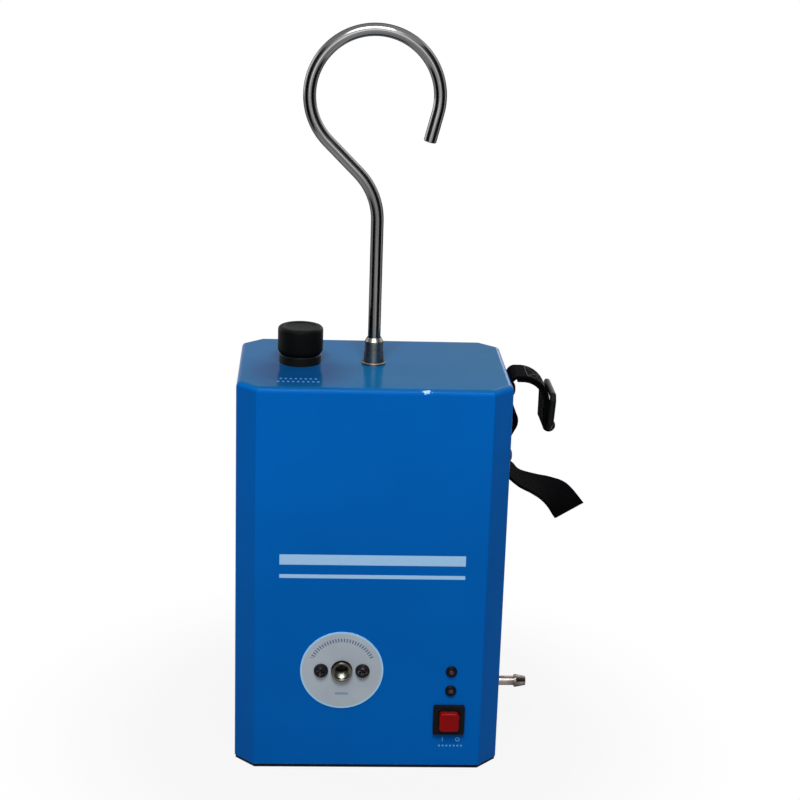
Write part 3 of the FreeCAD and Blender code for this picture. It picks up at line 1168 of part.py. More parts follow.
def build_leads():
    """The sleeved leads between the board and what it drives."""
    board_face = size("chassis_x") + size("sheet") + size("board_gap") + size("board_thick")
    board_mid = board_face - size("board_thick") / 2
    gap = size("hole_slack")
    bend = size("lead_bend")
    rear = (size("case_depth") / 2 + size("cover_thick") - size("socket_inner")
            - size("pin_tail") - gap)
    socket_x = size("socket_x")
    socket_z = size("socket_z")
    block_y = size("terminal_y")
    block_x = board_face + size("terminal_high") + gap
    power = route([Vector(socket_x, rear, socket_z), Vector(socket_x, block_y, socket_z),
                   Vector(block_x, block_y, socket_z)], bend)
    switch_x = size("switch_x")
    switch_z = size("switch_z")
    blades = (-size("case_depth") / 2 + size("barrel_long") + size("contacts_long")
              + size("blade_long") + gap)
    turn_y = blades + bend
    switch = route([Vector(switch_x, blades, switch_z), Vector(switch_x, turn_y, switch_z),
                    Vector(board_face + gap, turn_y, switch_z)], bend)
    lamp_x = size("lamp_x")
    lamp_rear = -size("case_depth") / 2 + size("lamp_long") + gap
    lamp_y = size("board_front") + size("board_screw_inset")
    lamps = []
    for step in range(2):
        height = size("lamp_z") - step * size("lamp_pitch")
        lamps.append(route([Vector(lamp_x, lamp_rear, height), Vector(lamp_x, lamp_y, height),
                            Vector(board_face + gap, lamp_y, height)], bend))
    heater_x = size("heater_x")
    heater_y = size("heater_y")
    post = (size("base_thick") + size("tank_high") + size("tank_gasket_thick")
            + size("tank_lid_thick") + size("heater_hex_high") + size("heater_post_high") + gap)
    lead_y = size("lead_y")
    lead_z = size("lead_z")
    heater = route([Vector(heater_x, heater_y, post), Vector(heater_x, heater_y, lead_z),
                    Vector(heater_x, lead_y, lead_z), Vector(board_mid, lead_y, lead_z),
                    Vector(board_mid, lead_y, size("board_high") + gap)], bend, bend, bend)
    pump_x = size("pump_x")
    pump_y = size("pump_y")
    meet = size("board_high") - size("lead_drop")
    pump = route([Vector(pump_x, pump_y, size("pump_low") - gap), Vector(pump_x, pump_y, meet),
                  Vector(board_face + gap, pump_y, meet)], bend)
    leads = document.addObject("Part::Feature", "leads")
    leads.Shape = Part.makeCompound([tube(wire, size("lead_wide"))
                                     for wire in (power, switch, *lamps, heater, pump)])
    keep(leads, "leads")


# Build, check and write

def build():
    """Build every sub-part in order."""
    build_case()
    build_hook()
    build_filler()
    build_port()
    build_lamps()
    build_switch()
    build_outlet()
    build_strap()
    build_socket()
    build_chassis()
    build_tank()
    build_pump()
    build_board()
    build_fittings()
    build_hoses()
    build_leads()
    document.recompute()


def check():
    """Stop at any object that failed and any sub-part without a sound solid."""
    for item in document.Objects:
        if {"Invalid", "Error"} & set(item.State):
            raise ValueError(f"{item.Name} failed: {item.State}")
    for label, piece in pieces.items():
        shape = piece.Shape
        if shape.isNull() or not shape.isValid() or not shape.Solids:
            raise ValueError(f"{label} is not a sound solid")


def write():
    """Write each sub-part to its own file."""
    os.makedirs("parts", exist_ok=True)
    for label, piece in pieces.items():
        piece.Shape.exportStep(os.path.join("parts", f"{label}.step"))
        print(f"{label}: {len(piece.Shape.Solids)} solids, {piece.Shape.Volume:.1f} mm3")
    print(f"{len(pieces)} sub-parts")


build()
check()
write()
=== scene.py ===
"""Looks of a hand-portable smoke leak detector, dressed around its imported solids.

Sizes in the classes are millimetres and the pieces are cast in metres, both in the frame of the
solids: +Z is up, -Y is the front with the gauge port, +X is the side with the smoke outlet.
"""
import logging
import math
from dataclasses import dataclass
from enum import Enum
from functools import partialmethod
from typing import Iterable, Sequence

import bmesh
import bpy
from mathutils import Matrix, Vector


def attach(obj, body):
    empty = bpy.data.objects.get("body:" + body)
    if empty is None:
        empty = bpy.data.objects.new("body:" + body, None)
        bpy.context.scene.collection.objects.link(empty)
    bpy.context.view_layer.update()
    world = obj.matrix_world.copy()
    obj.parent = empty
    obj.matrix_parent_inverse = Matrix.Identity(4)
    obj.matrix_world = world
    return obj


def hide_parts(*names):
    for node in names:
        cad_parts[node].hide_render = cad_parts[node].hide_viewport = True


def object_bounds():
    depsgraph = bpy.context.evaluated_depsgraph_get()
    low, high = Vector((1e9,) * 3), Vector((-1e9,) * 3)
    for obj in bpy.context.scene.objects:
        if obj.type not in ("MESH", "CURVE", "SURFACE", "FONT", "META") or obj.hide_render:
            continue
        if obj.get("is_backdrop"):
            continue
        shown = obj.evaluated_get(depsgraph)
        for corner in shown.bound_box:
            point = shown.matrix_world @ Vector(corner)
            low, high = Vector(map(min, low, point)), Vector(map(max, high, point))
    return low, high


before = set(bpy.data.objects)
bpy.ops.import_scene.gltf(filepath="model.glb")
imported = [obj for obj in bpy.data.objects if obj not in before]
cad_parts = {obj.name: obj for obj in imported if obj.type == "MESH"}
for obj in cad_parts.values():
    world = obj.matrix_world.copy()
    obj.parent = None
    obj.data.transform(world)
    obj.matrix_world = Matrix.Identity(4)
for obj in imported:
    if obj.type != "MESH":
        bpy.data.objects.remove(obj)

Colour = tuple[float, float, float, float]
Point = tuple[float, float, float]
Spot = tuple[float, float]
Row = tuple[float, float, float, float, int, float]

MM = 0.001
EVEN: Point = (1, 1, 1)
LOG = logging.getLogger("smoke_leak_detector")
WHITE: Colour = (1.0, 1.0, 1.0, 1.0)


def shade(red: float, green: float, blue: float) -> Colour:
    """A paint-chart colour, 0 to 255 a channel, as linear light.

    Args:
        red: The red channel, from 0 to 255.
        green: The green channel.
        blue: The blue channel.

    Returns:
        The colour.
    """
    def linear(channel: float) -> float:
        """One channel as linear light."""
        part = channel / 255
        return part / 12.92 if part <= 0.04045 else ((part + 0.055) / 1.055) ** 2.4
    return linear(red), linear(green), linear(blue), 1.0


def lit(colour: Colour, gain: float) -> Colour:
    """The same colour, lighter or darker by a factor."""
    return colour[0] * gain, colour[1] * gain, colour[2] * gain, 1.0


class Wire:
    """A node's output that takes part in arithmetic."""

    def __init__(self, work: "Paintwork", socket: bpy.types.NodeSocket) -> None:
        """Keep the tree that the socket is in."""
        self.work = work
        self.socket = socket

    def maths(self, operation: str, other: "float | Wire" = 0.0,
              swapped: bool = False) -> "Wire":
        """One Math node on this value and another, which goes in first when they are swapped."""
        first, second = (other, self) if swapped else (self, other)
        return self.work.add("ShaderNodeMath", {"operation": operation}, {0: first, 1: second})

    __add__ = partialmethod(maths, "ADD")
    __radd__ = partialmethod(maths, "ADD", swapped=True)
    __sub__ = partialmethod(maths, "SUBTRACT")
    __rsub__ = partialmethod(maths, "SUBTRACT", swapped=True)
    __mul__ = partialmethod(maths, "MULTIPLY")
    __rmul__ = partialmethod(maths, "MULTIPLY", swapped=True)
    __or__ = partialmethod(maths, "MAXIMUM")
    __and__ = partialmethod(maths, "MINIMUM")
    above = partialmethod(maths, "GREATER_THAN")
    sine = partialmethod(maths, "SINE")

    def ramp(self, low: float, high: float) -> "Wire":
        """Zero up to one level, one from another, and a smooth rise between."""
        return self.work.add("ShaderNodeMapRange", {"interpolation_type": "SMOOTHSTEP"},
                             {"Value": self, "From Min": low, "From Max": high})

    def vector(self, operation: str, other: "Point | Wire" = (0, 0, 0),
               output: int | str = 0) -> "Wire":
        """One Vector Math node on this vector and another."""
        return self.work.add("ShaderNodeVectorMath", {"operation": operation},
                             {0: self, 1: other}, output)

    def scaled(self, stretch: Point) -> "Wire":
        """The vector times a factor on each axis."""
        return self if stretch == EVEN else self.vector("MULTIPLY", stretch)

    def length(self) -> "Wire":
        """The vector's length."""
        return self.vector("LENGTH", output="Value")

    def part(self, axis: str) -> "Wire":
        """One of the vector's three numbers."""
        return self.work.add("ShaderNodeSeparateXYZ", sockets={0: self}, output=axis)


class Paintwork:
    """The node tree of a material or of the world, and the ways in which it grows."""

    def __init__(self, owner: bpy.types.Material | bpy.types.World) -> None:
        """Turn the owner's nodes on."""
        owner.use_nodes = True
        self.tree = owner.node_tree

    def found(self, kind: str) -> bpy.types.Node:
        """The tree's own node of a kind."""
        return next(node for node in self.tree.nodes if node.type == kind)

    def add(self, kind: str, settings: dict | None = None, sockets: dict | None = None,
            output: int | str = 0) -> Wire:
        """Add a node.

        Args:
            kind: The node's type.
            settings: Its settings, which are set first.
            sockets: Values or wires for its inputs, by name or number.
            output: The output that is handed on.

        Returns:
            That output, ready for arithmetic.
        """
        node = self.tree.nodes.new(kind)
        for key, setting in (settings or {}).items():
            setattr(node, key, setting)
        for key, value in (sockets or {}).items():
            self.feed(node.inputs[key], value)
        return Wire(self, node.outputs[output])

    def feed(self, socket: bpy.types.NodeSocket, value: object) -> None:
        """Link a wire to an input, or set the input's own value.

        Args:
            socket: The input.
            value: The wire or the value.
        """
        if isinstance(value, Wire):
            self.tree.links.new(value.socket, socket)
        else:
            socket.default_value = value

    def surface(self, base: Wire | Colour, rough: Wire | float, normal: Wire | None = None,
                ior: float = 1.5, metal: Wire | float = 0.0, tint: float = 1.0) -> None:
        """Feed the Principled shader.

        Args:
            base: The base colour.
            rough: The roughness.
            normal: The bumped normal.
            ior: The index of refraction.
            metal: How metallic it is.
            tint: The grey that tints the gloss.
        """
        inputs = self.found("BSDF_PRINCIPLED").inputs
        for name, value in (("Base Color", base), ("Roughness", rough), ("IOR", ior),
                            ("Metallic", metal), ("Specular Tint", (tint, tint, tint, 1.0))):
            self.feed(inputs[name], value)
        if normal:
            self.feed(inputs["Normal"], normal)

    def place(self, stretch: Point = EVEN) -> Wire:
        """The place on the object in metres, stretched along the axes."""
        return self.add("ShaderNodeTexCoord", output="Object").scaled(stretch)

    def place_from(self, spot: Point, squash: Point = EVEN) -> Wire:
        """The way in metres from a spot given in millimetres, squashed along the axes."""
        away = self.place().vector("SUBTRACT", tuple(value * MM for value in spot))
        return away.scaled(squash)

    def along(self, layer: str, stretch: Point = EVEN) -> Wire:
        """The place in a piece's own layer of lengths, stretched."""
        return self.add("ShaderNodeUVMap", {"uv_map": layer}).scaled(stretch)

    def noise(self, scale: float, detail: float = 3, rough: float = 0.5,
              where: Wire | None = None) -> Wire:
        """Cloudy noise with so many waves a metre.

        Args:
            scale: How many waves a metre.
            detail: How many finer layers.
            rough: How strong these are.
            where: The place, or none for the place on the object.

        Returns:
            The noise, from 0 to 1.
        """
        return self.add("ShaderNodeTexNoise", sockets={
            "Vector": where or self.place(), "Scale": scale, "Detail": detail,
            "Roughness": rough})

    def cells(self, scale: float, where: Wire | None = None, output: str = "Distance") -> Wire:
        """Cells with so many a metre."""
        return self.add("ShaderNodeTexVoronoi", sockets={
            "Vector": where or self.place(), "Scale": scale}, output=output)

    def mix(self, factor: Wire | float, low: Colour | Wire, high: Colour | Wire) -> Wire:
        """A colour between two others."""
        return self.add("ShaderNodeMix", {"data_type": "RGBA"}, {0: factor, 6: low, 7: high}, 2)

    def tones(self, factor: Wire, colour: Colour, low: float, high: float) -> Wire:
        """A colour that runs between two gains."""
        return self.mix(factor, lit(colour, low), lit(colour, high))

    def coats(self, base: Wire, *coats: tuple[Wire, Colour]) -> Wire:
        """A colour with others laid over it, each by its share.

        Args:
            base: The colour underneath.
            coats: The share and the colour of each coat.

        Returns:
            The colour on top.
        """
        for share, colour in coats:
            base = self.mix(share, base, colour)
        return base

    def bump(self, height: Wire, rise: float) -> Wire:
        """A normal from a height of 0 to 1 that rises by so many metres."""
        return self.add("ShaderNodeBump", sockets={
            "Height": height, "Distance": rise, "Strength": 1.0})

    def edges(self, radius: float) -> Wire:
        """A mask of the outer and inner edges, about so wide.

        Args:
            radius: The width in metres.

        Returns:
            The mask.
        """
        rounded = self.add("ShaderNodeBevel", {"samples": 4}, {"Radius": radius})
        plain = self.add("ShaderNodeNewGeometry", output="Normal")
        return (1 - rounded.vector("DOT_PRODUCT", plain, "Value")).ramp(0.01, 0.16)

    def facing_up(self) -> Wire:
        """A mask of what faces up, where dust settles."""
        return self.add("ShaderNodeNewGeometry", output="Normal").part("Z").ramp(0.6, 0.98)

    def seen(self) -> Wire:
        """A mask of the rays that look straight at a thing, in a reflection or through glass.

        Returns:
            The mask.
        """
        straight, mirrored, through = (
            self.add("ShaderNodeLightPath", output=f"Is {way} Ray")
            for way in ("Camera", "Glossy", "Transmission"))
        return straight | mirrored | through


@dataclass(frozen=True)
class Finish:
    """A finish by name. Each kind of finish lays its own nodes."""
    name: str

    def lay(self, work: Paintwork) -> None:
        """Lay the nodes of this finish."""
        raise NotImplementedError

    def material(self) -> bpy.types.Material:
        """The finish's one material, made when it is first asked for.

        Returns:
            The material.
        """
        found = bpy.data.materials.get(self.name)
        if found is None:
            found = bpy.data.materials.new(self.name)
            self.lay(Paintwork(found))
        return found


@dataclass(frozen=True)
class Enamel(Finish):
    """Gloss enamel on sheet steel: orange peel, clouds, scuffed bends with a painted highlight, a
    painted glint on the front edge, and painted reflections on the top and round the filler.
    """
    colour: Colour
    # Lighter edges: partly scuffs, partly a painted highlight along the bends.
    scuffed_and_highlit: Colour = shade(96, 138, 176)
    # Painted reflection: a teal tint on faces that look up, standing in for the glossy top's
    # reflection of the surround.
    painted_top_reflection: Colour = shade(16, 80, 78)
    dust: Colour = shade(96, 118, 132)
    # Painted reflection, not oil: a dark blue patch on the top round the filler that stands in
    # for the cap's reflection in the gloss.
    oil: Colour = shade(2, 40, 92)
    # Painted highlight: a pale spot on the front top edge that stands in for a glint.
    painted_glint: Colour = shade(158, 196, 222)
    painted_glint_spot: Point = (27.0, -50.7, 224.3)
    filler: Point = (-41.5, -18.0, 225.0)

    def lay(self, work: Paintwork) -> None:
        """Lay the paint.

        Args:
            work: The material's tree.
        """
        cloud = work.noise(11, 4).ramp(0.3, 0.7)
        up = work.facing_up()
        # Mask of the bends' scuffs, which also carries their painted highlight.
        worn = work.edges(0.0011) * work.noise(420, 4, 0.7).ramp(0.52, 0.66)
        scratch = work.noise(60, 2, 0.5, work.place((1, 1, 26))).ramp(0.70, 0.76)
        dusty = up * work.noise(30, 5, 0.65).ramp(0.35, 0.75)
        # How far from the filler the painted cap reflection reaches, with a ragged edge.
        painted_cap_reflection_reach = work.place_from(self.filler, (1, 0.7, 1)).length() + 0.008 * work.noise(90, 3)
        painted_glint_reach = work.place_from(self.painted_glint_spot, (0.5, 1, 1)).length() + 0.0022 * work.noise(900, 2)
        base = work.coats(
            work.tones(cloud, self.colour, 0.94, 1.05),
            # Painted reflection over the top faces, a little cloudy.
            (up * (0.44 + 0.15 * cloud), self.painted_top_reflection),
            (dusty * 0.05, self.dust),
            # Painted cap reflection round the filler, on faces that look up.
            (up * (1 - painted_cap_reflection_reach.ramp(0.014, 0.040)) * 0.65, self.oil),
            # Scuffs and painted highlight along the bends.
            (worn * 0.45, self.scuffed_and_highlit),
            # Painted glint on the front top edge.
            ((1 - painted_glint_reach.ramp(0.0022, 0.0026)) * 0.9, self.painted_glint))
        rough = 0.07 + 0.05 * work.noise(45, 3) + 0.06 * dusty + 0.2 * worn + 0.06 * scratch
        work.surface(base, rough, work.bump(work.noise(520, 2, 0.4), 0.000012), 1.07)


@dataclass(frozen=True)
class Powder(Finish):
    """Textured powder coat, rubbed to a shine along its edges."""
    colour: Colour
    rubbed: Colour = shade(92, 92, 94)
    roughness: float = 0.5
    shine: float = 0.6

    def lay(self, work: Paintwork) -> None:
        """Lay the coat.

        Args:
            work: The material's tree.
        """
        grain = work.noise(1500, 3, 0.6)
        tone = work.tones(work.noise(24, 4).ramp(0.3, 0.7), self.colour, 0.8, 1.3)
        worn = work.edges(0.0007) * work.noise(600, 4, 0.7).ramp(0.46, 0.6)
        shine = worn * self.shine
        work.surface(work.mix(shine, tone, self.rubbed),
                     self.roughness + 0.14 * grain - 0.15 * worn,
                     work.bump(grain, 0.00006), 1.14, shine)


@dataclass(frozen=True)
class DrawnSteel(Finish):
    """Dark drawn bar: fine lines along its length, with grime between them."""
    bright: Colour
    dark: Colour
    layer: str = "length"

    def lay(self, work: Paintwork) -> None:
        """Lay the metal.

        Args:
            work: The material's tree.
        """
        where = work.along(self.layer, (6, 1, 1))
        lines = work.noise(5, 1, 0.5, where.scaled((1, 2.5, 1)))
        fine = work.noise(14, 1, 0.5, where.scaled((1, 1.5, 1)))
        haze = work.noise(26, 3, 0.6).ramp(0.4, 0.75)
        base = work.mix((0.6 * lines + 0.4 * fine).ramp(0.3, 0.7), self.dark, self.bright)
        work.surface(work.mix(haze * 0.3, base, self.dark), 0.13 + 0.05 * fine + 0.06 * haze,
                     work.bump(lines, 0.000004), metal=1.0, tint=0.1)


@dataclass(frozen=True)
class Turned(Finish):
    """Turned metal: tool rings round the piece's axis, brighter on its edges."""
    bright: Colour
    dark: Colour
    axis: str = "Z"
    roughness: float = 0.14
    tint: float = 0.2
    patch: float = 160

    def lay(self, work: Paintwork) -> None:
        """Lay the metal.

        Args:
            work: The material's tree.
        """
        rings = work.add("ShaderNodeTexNoise", {"noise_dimensions": "1D"}, {
            "W": work.place().part(self.axis), "Scale": 2600, "Detail": 2,
            "Roughness": 0.6})
        haze = work.noise(self.patch, 4, 0.6).ramp(0.35, 0.7)
        base = work.coats(work.mix(haze, self.bright, self.dark),
                          (work.edges(0.0005) * 0.5, lit(self.bright, 1.25)))
        work.surface(base, self.roughness + 0.12 * haze + 0.06 * rings,
                     work.bump(rings, 0.000005), metal=1.0, tint=self.tint)


@dataclass(frozen=True)
class ZincPlate(Finish):
    """Zinc on steel: a faint spangle, and dull patches."""
    colour: Colour
    cell: float = 260

    def lay(self, work: Paintwork) -> None:
        """Lay the plating.

        Args:
            work: The material's tree.
        """
        tone = work.cells(self.cell, output="Color").part("X")
        dull = work.noise(70, 4, 0.6).ramp(0.4, 0.7)
        base = work.coats(work.tones(tone, self.colour, 0.8, 1.15),
                          (dull * 0.5, lit(self.colour, 0.55)))
        work.surface(base, 0.28 + 0.12 * tone + 0.16 * dull,
                     work.bump(work.noise(900, 3), 0.00002), metal=1.0)


@dataclass(frozen=True)
class Moulded(Finish):
    """Moulded plastic: a spark-eroded grain, a polish where it is handled, dust on top."""
    colour: Colour
    grain: float = 1600
    rise: float = 0.00003
    roughness: float = 0.36
    polish: Colour = shade(52, 52, 54)
    ior: float = 1.14
    dust: Colour = shade(110, 110, 108)

    def lay(self, work: Paintwork) -> None:
        """Lay the plastic.

        Args:
            work: The material's tree.
        """
        grain = work.noise(self.grain, 3, 0.6)
        worn = work.edges(0.0006) * work.noise(500, 3).ramp(0.4, 0.6)
        dusty = work.facing_up() * work.noise(90, 5, 0.7).ramp(0.4, 0.7)
        base = work.coats(
            work.tones(work.noise(60, 4).ramp(0.3, 0.7), self.colour, 0.85, 1.2),
            (worn * 0.18, self.polish), (dusty * 0.06, self.dust))
        work.surface(base, self.roughness + 0.14 * grain - 0.10 * worn + 0.10 * dusty,
                     work.bump(grain, self.rise), self.ior)


@dataclass(frozen=True)
class Rubber(Finish):
    """Soft rubber with a grey bloom."""
    colour: Colour = shade(22, 22, 23)
    bloom: Colour = shade(48, 48, 48)

    def lay(self, work: Paintwork) -> None:
        """Lay the rubber.

        Args:
            work: The material's tree.
        """
        bloom = work.noise(140, 5, 0.7).ramp(0.42, 0.75)
        fine = work.noise(1100, 3, 0.6)
        work.surface(work.mix(bloom * 0.5, self.colour, self.bloom), 0.62 + 0.2 * fine,
                     work.bump(fine, 0.00004), 1.2)


@dataclass(frozen=True)
class Webbing(Finish):
    """Woven polypropylene webbing: picks across, ribs along, and rubbed patches."""
    colour: Colour
    layer: str = "band"
    rib: float = 0.0021
    pick: float = 0.0015

    def lay(self, work: Paintwork) -> None:
        """Lay the weave.

        Args:
            work: The material's tree.
        """
        where = work.along(self.layer)
        across, length = where.part("X"), where.part("Y")
        turn = 2 * math.pi
        rib = (across * (turn / self.rib)).sine()
        every_other = (across * (turn / self.rib / 2)).sine().above(0)
        pick = (length * (turn / self.pick) + every_other * math.pi).sine()
        weave = 0.5 + 0.25 * rib + 0.25 * pick
        fuzz = work.noise(2600, 3, 0.7)
        worn = work.noise(70, 4, 0.6).ramp(0.35, 0.7)
        base = work.coats(work.tones(weave.ramp(0.15, 0.9), self.colour, 0.3, 1.9),
                          (worn * 0.35, lit(self.colour, 2.6)))
        work.surface(base, 0.62 + 0.2 * fuzz, work.bump(weave + 0.25 * fuzz, 0.00032), 1.04)


@dataclass(frozen=True)
class Thread(Finish):
    """Sewing thread, twisted."""
    colour: Colour

    def lay(self, work: Paintwork) -> None:
        """Lay the thread.

        Args:
            work: The material's tree.
        """
        twist = work.noise(3200, 2, 0.5, work.place((1, 1, 2)))
        work.surface(work.tones(twist, self.colour, 0.6, 1.5), 0.55 + 0.2 * twist,
                     work.bump(twist, 0.00006), 1.25)


@dataclass(frozen=True)
class PrintedDisc(Finish):
    """A brushed silver-grey disc with a printed rim, an arc of ticks and a small bar."""
    middle: Point
    wide: float
    silver: Colour
    rim: Colour
    print: Colour = shade(46, 74, 116)
    pale_print: Colour = shade(92, 122, 150)
    tick_count: float = 72
    tick_reach: Spot = (0.0172, 0.0194)
    tick_arc: Spot = (24, 156)
    bar_drop: float = 0.0142
    bar_half: Spot = (0.0036, 0.0007)
    rim_in: Spot = (0.0011, 0.0008)

    def lay(self, work: Paintwork) -> None:
        """Lay the disc.

        Args:
            work: The material's tree.
        """
        flat = work.place_from(self.middle, (1, 0, 1))
        reach, side, high = flat.length(), flat.part("X"), flat.part("Z")
        edge = self.wide / 2 * MM
        brushed = work.noise(60, 4, 0.7, work.place((22, 1, 1)))
        around = high.maths("ARCTAN2", side)
        near, far = self.tick_reach
        first, last = (math.radians(turn) for turn in self.tick_arc)
        scale = ((around * self.tick_count).sine().above(0.1) & around.above(first)
                 & (1 - around.above(last)) & reach.above(near) & (1 - reach.above(far)))
        low = high + self.bar_drop
        half_wide, half_tall = self.bar_half
        bar = (1 - (low * low).above(half_tall ** 2)) & (1 - (side * side).above(half_wide ** 2))
        base = work.coats(
            work.tones(work.noise(40, 3).ramp(0.3, 0.7), self.silver, 0.94, 1.05),
            (scale * 0.8, self.print), (bar * 0.7, self.pale_print),
            (reach.ramp(*(edge - inward for inward in self.rim_in)), self.rim))
        work.surface(base, 0.34 + 0.14 * brushed, work.bump(brushed, 0.000006), 1.2, 0.1)


@dataclass(frozen=True)
class Ink(Finish):
    """Screen-printed ink, thin in places."""
    colour: Colour
    under: Colour

    def lay(self, work: Paintwork) -> None:
        """Lay the ink.

        Args:
            work: The material's tree.
        """
        thin = work.noise(900, 4, 0.7).ramp(0.58, 0.72)
        work.surface(work.mix(thin * 0.35, self.colour, self.under),
                     0.36 + 0.15 * work.noise(700, 3),
                     work.bump(work.noise(1800, 2), 0.00001), 1.2)


@dataclass(frozen=True)
class Lens(Finish):
    """A moulded lens, unlit, with a haze."""
    colour: Colour

    def lay(self, work: Paintwork) -> None:
        """Lay the lens.

        Args:
            work: The material's tree.
        """
        haze = work.noise(500, 3).ramp(0.35, 0.7)
        work.surface(work.tones(haze, self.colour, 0.7, 1.3), 0.10 + 0.12 * haze,
                     work.bump(work.cells(1600), 0.00003), 1.3)


@dataclass(frozen=True)
class CastAlloy(Finish):
    """Cast aluminium: a blasted skin with smears of oil."""
    colour: Colour = shade(172, 174, 176)
    smear: Colour = shade(112, 96, 70)

    def lay(self, work: Paintwork) -> None:
        """Lay the skin.

        Args:
            work: The material's tree.
        """
        grit = work.noise(1300, 4, 0.7)
        oil = work.noise(26, 5, 0.7).ramp(0.52, 0.68)
        base = work.coats(work.tones(grit, self.colour, 0.75, 1.1), (oil * 0.35, self.smear))
        work.surface(base, 0.5 + 0.15 * grit - 0.25 * oil, work.bump(grit, 0.00005), metal=0.9)


@dataclass(frozen=True)
class Board(Finish):
    """Solder mask over copper: tracks under a green gloss."""
    mask: Colour = shade(22, 84, 48)
    track: Colour = shade(48, 122, 66)

    def lay(self, work: Paintwork) -> None:
        """Lay the board.

        Args:
            work: The material's tree.
        """
        bricks = work.add("ShaderNodeTexBrick", {"offset": 0.3, "squash": 1.4}, {
            "Vector": work.place(), "Scale": 60.0, "Mortar Size": 0.06,
            "Color1": (0, 0, 0, 1), "Color2": (0.15, 0.15, 0.15, 1), "Mortar": WHITE})
        copper = bricks.part("X") * work.cells(210, work.place((1, 1, 0.4))).ramp(0.1, 0.3)
        work.surface(work.mix(copper, self.mask, self.track), 0.25 + 0.15 * work.noise(200, 3),
                     work.bump(copper, 0.00004))


ENAMEL = Enamel("gloss_blue_enamel", shade(1, 86, 165))
BASE_COAT = Powder("black_base_coat", shade(14, 16, 20))
SCREW_BLACK = Powder("blackened_screw", shade(20, 18, 22), shade(170, 166, 174), 0.26, 0.6)
ROD_STEEL = DrawnSteel("drawn_hook_steel", shade(133, 133, 132), shade(88, 88, 89))
SLEEVE_STEEL = Turned("turned_dark_steel", shade(138, 137, 132), shade(90, 89, 86), "Z", 0.26)
ZINC = ZincPlate("zinc_plated_steel", shade(176, 180, 184))
CAP_PLASTIC = Moulded("matt_cap_plastic", shade(10, 12, 12), 1500, 0.00003, 0.40, ior=1.09)
BLACK_PLASTIC = Moulded("satin_black_plastic", shade(14, 15, 16))
RED_PLASTIC = Moulded("red_button_plastic", shade(132, 6, 8), 900, 0.000006, 0.16,
                      shade(214, 70, 62), 1.15)
RELAY_BLUE = Moulded("relay_blue_plastic", shade(28, 70, 150), 1400, 0.00002)
TERMINAL_GREEN = Moulded("terminal_green_plastic", shade(30, 120, 62), 1400, 0.00002)
LEAD_SLEEVE = Moulded("lead_sleeve_plastic", shade(120, 22, 20), 1200, 0.00001, 0.3)
RUBBER = Rubber("seal_rubber_bloom")
HOSE_RUBBER = Rubber("hose_rubber_bloom", shade(30, 30, 31))
WEBBING = Webbing("black_webbing", shade(5, 5, 6))
THREAD = Thread("black_sewing_thread", shade(40, 40, 42))
NICKEL = Turned("bright_nickel_across", shade(136, 128, 124), shade(84, 78, 74), "X",
                0.08, 0.1)
PORT_NICKEL = Turned("dull_nickel_deep", shade(96, 94, 86), shade(40, 40, 38), "Y",
                     0.18, 0.3)
THREAD_NICKEL = Turned("bright_thread_nickel", shade(160, 160, 150), shade(60, 60, 54),
                       "Y", 0.3, 0.3, 900)
SOCKET_NICKEL = Turned("dull_nickel_socket", shade(160, 156, 148), shade(96, 94, 90), "Y")
SPRING = Turned("spring_steel_rings", shade(150, 152, 156), shade(90, 92, 96), "Y")
BRASS = Turned("turned_brass_rings", shade(196, 164, 92), shade(142, 112, 58), "Z", 0.26, 1.0)
ALLOY = CastAlloy("cast_tank_alloy")
BOARD = Board("solder_mask_green")
LAMP = Lens("unlit_lamp_lens", shade(58, 34, 48))
WHITE_INK = Ink("white_front_ink", shade(145, 183, 216), shade(84, 134, 182))
PALE_INK = Ink("pale_blue_ink", shade(92, 158, 206), shade(40, 110, 178))
WORN_INK = Ink("worn_blue_ink", shade(58, 114, 174), shade(14, 76, 140))
DISC = PrintedDisc("silver_port_disc", (-15, -51.5, 60.8), 46.5, shade(156, 165, 174),
                   shade(146, 190, 220))

NODE_FINISHES: dict[Finish, tuple[str, ...]] = {
    ENAMEL: ("housing_shell", "rear_cover"),
    BASE_COAT: ("base_plate", "capacitor"),
    SCREW_BLACK: ("base_screws", "rear_cover_screws", "port_screws", "strap_screws"),
    SLEEVE_STEEL: ("hook_sleeve", "hook_bush", "pump_rotor"),
    ZINC: ("corner_blocks", "hook_load_plate", "hook_bush_nut", "hook_washer", "hook_locknut",
           "lamp_nuts", "outlet_nut", "strap_washers", "socket_nut", "chassis_plate",
           "tank_clamp", "pump_motor", "pump_clamp", "inner_screws", "hose_clips"),
    BLACK_PLASTIC: ("filler_neck", "filler_neck_nut", "lamp_bezels", "switch_bezel",
                    "switch_nut", "switch_contacts", "strap_ring", "socket_insulator",
                    "pump_head", "check_valve"),
    CAP_PLASTIC: ("filler_cap",),
    RUBBER: ("cap_liner", "tank_gasket"),
    DISC: ("port_plate",),
    PORT_NICKEL: ("gauge_port",),
    NICKEL: ("smoke_outlet",),
    SOCKET_NICKEL: ("power_socket",),
    LAMP: ("lamp_lenses",),
    RED_PLASTIC: ("switch_button",),
    SPRING: ("switch_spring",),
    WEBBING: ("strap",),
    BRASS: ("socket_pins", "heater_plug", "board_standoffs", "smoke_tee"),
    ALLOY: ("oil_tank", "tank_lid"),
    BOARD: ("control_board",),
    RELAY_BLUE: ("relay",),
    TERMINAL_GREEN: ("terminal_block",),
    HOSE_RUBBER: ("pressure_hoses", "filler_hose"),
    LEAD_SLEEVE: ("leads",),
    ROD_STEEL: ("hook_rod",),
}


class Facing(Enum):
    """Which way a turned piece looks from its seat."""
    UP = Matrix.Identity(3)
    FRONT = Matrix.Rotation(math.radians(90), 3, "X")
    REAR = Matrix.Rotation(math.radians(-90), 3, "X")


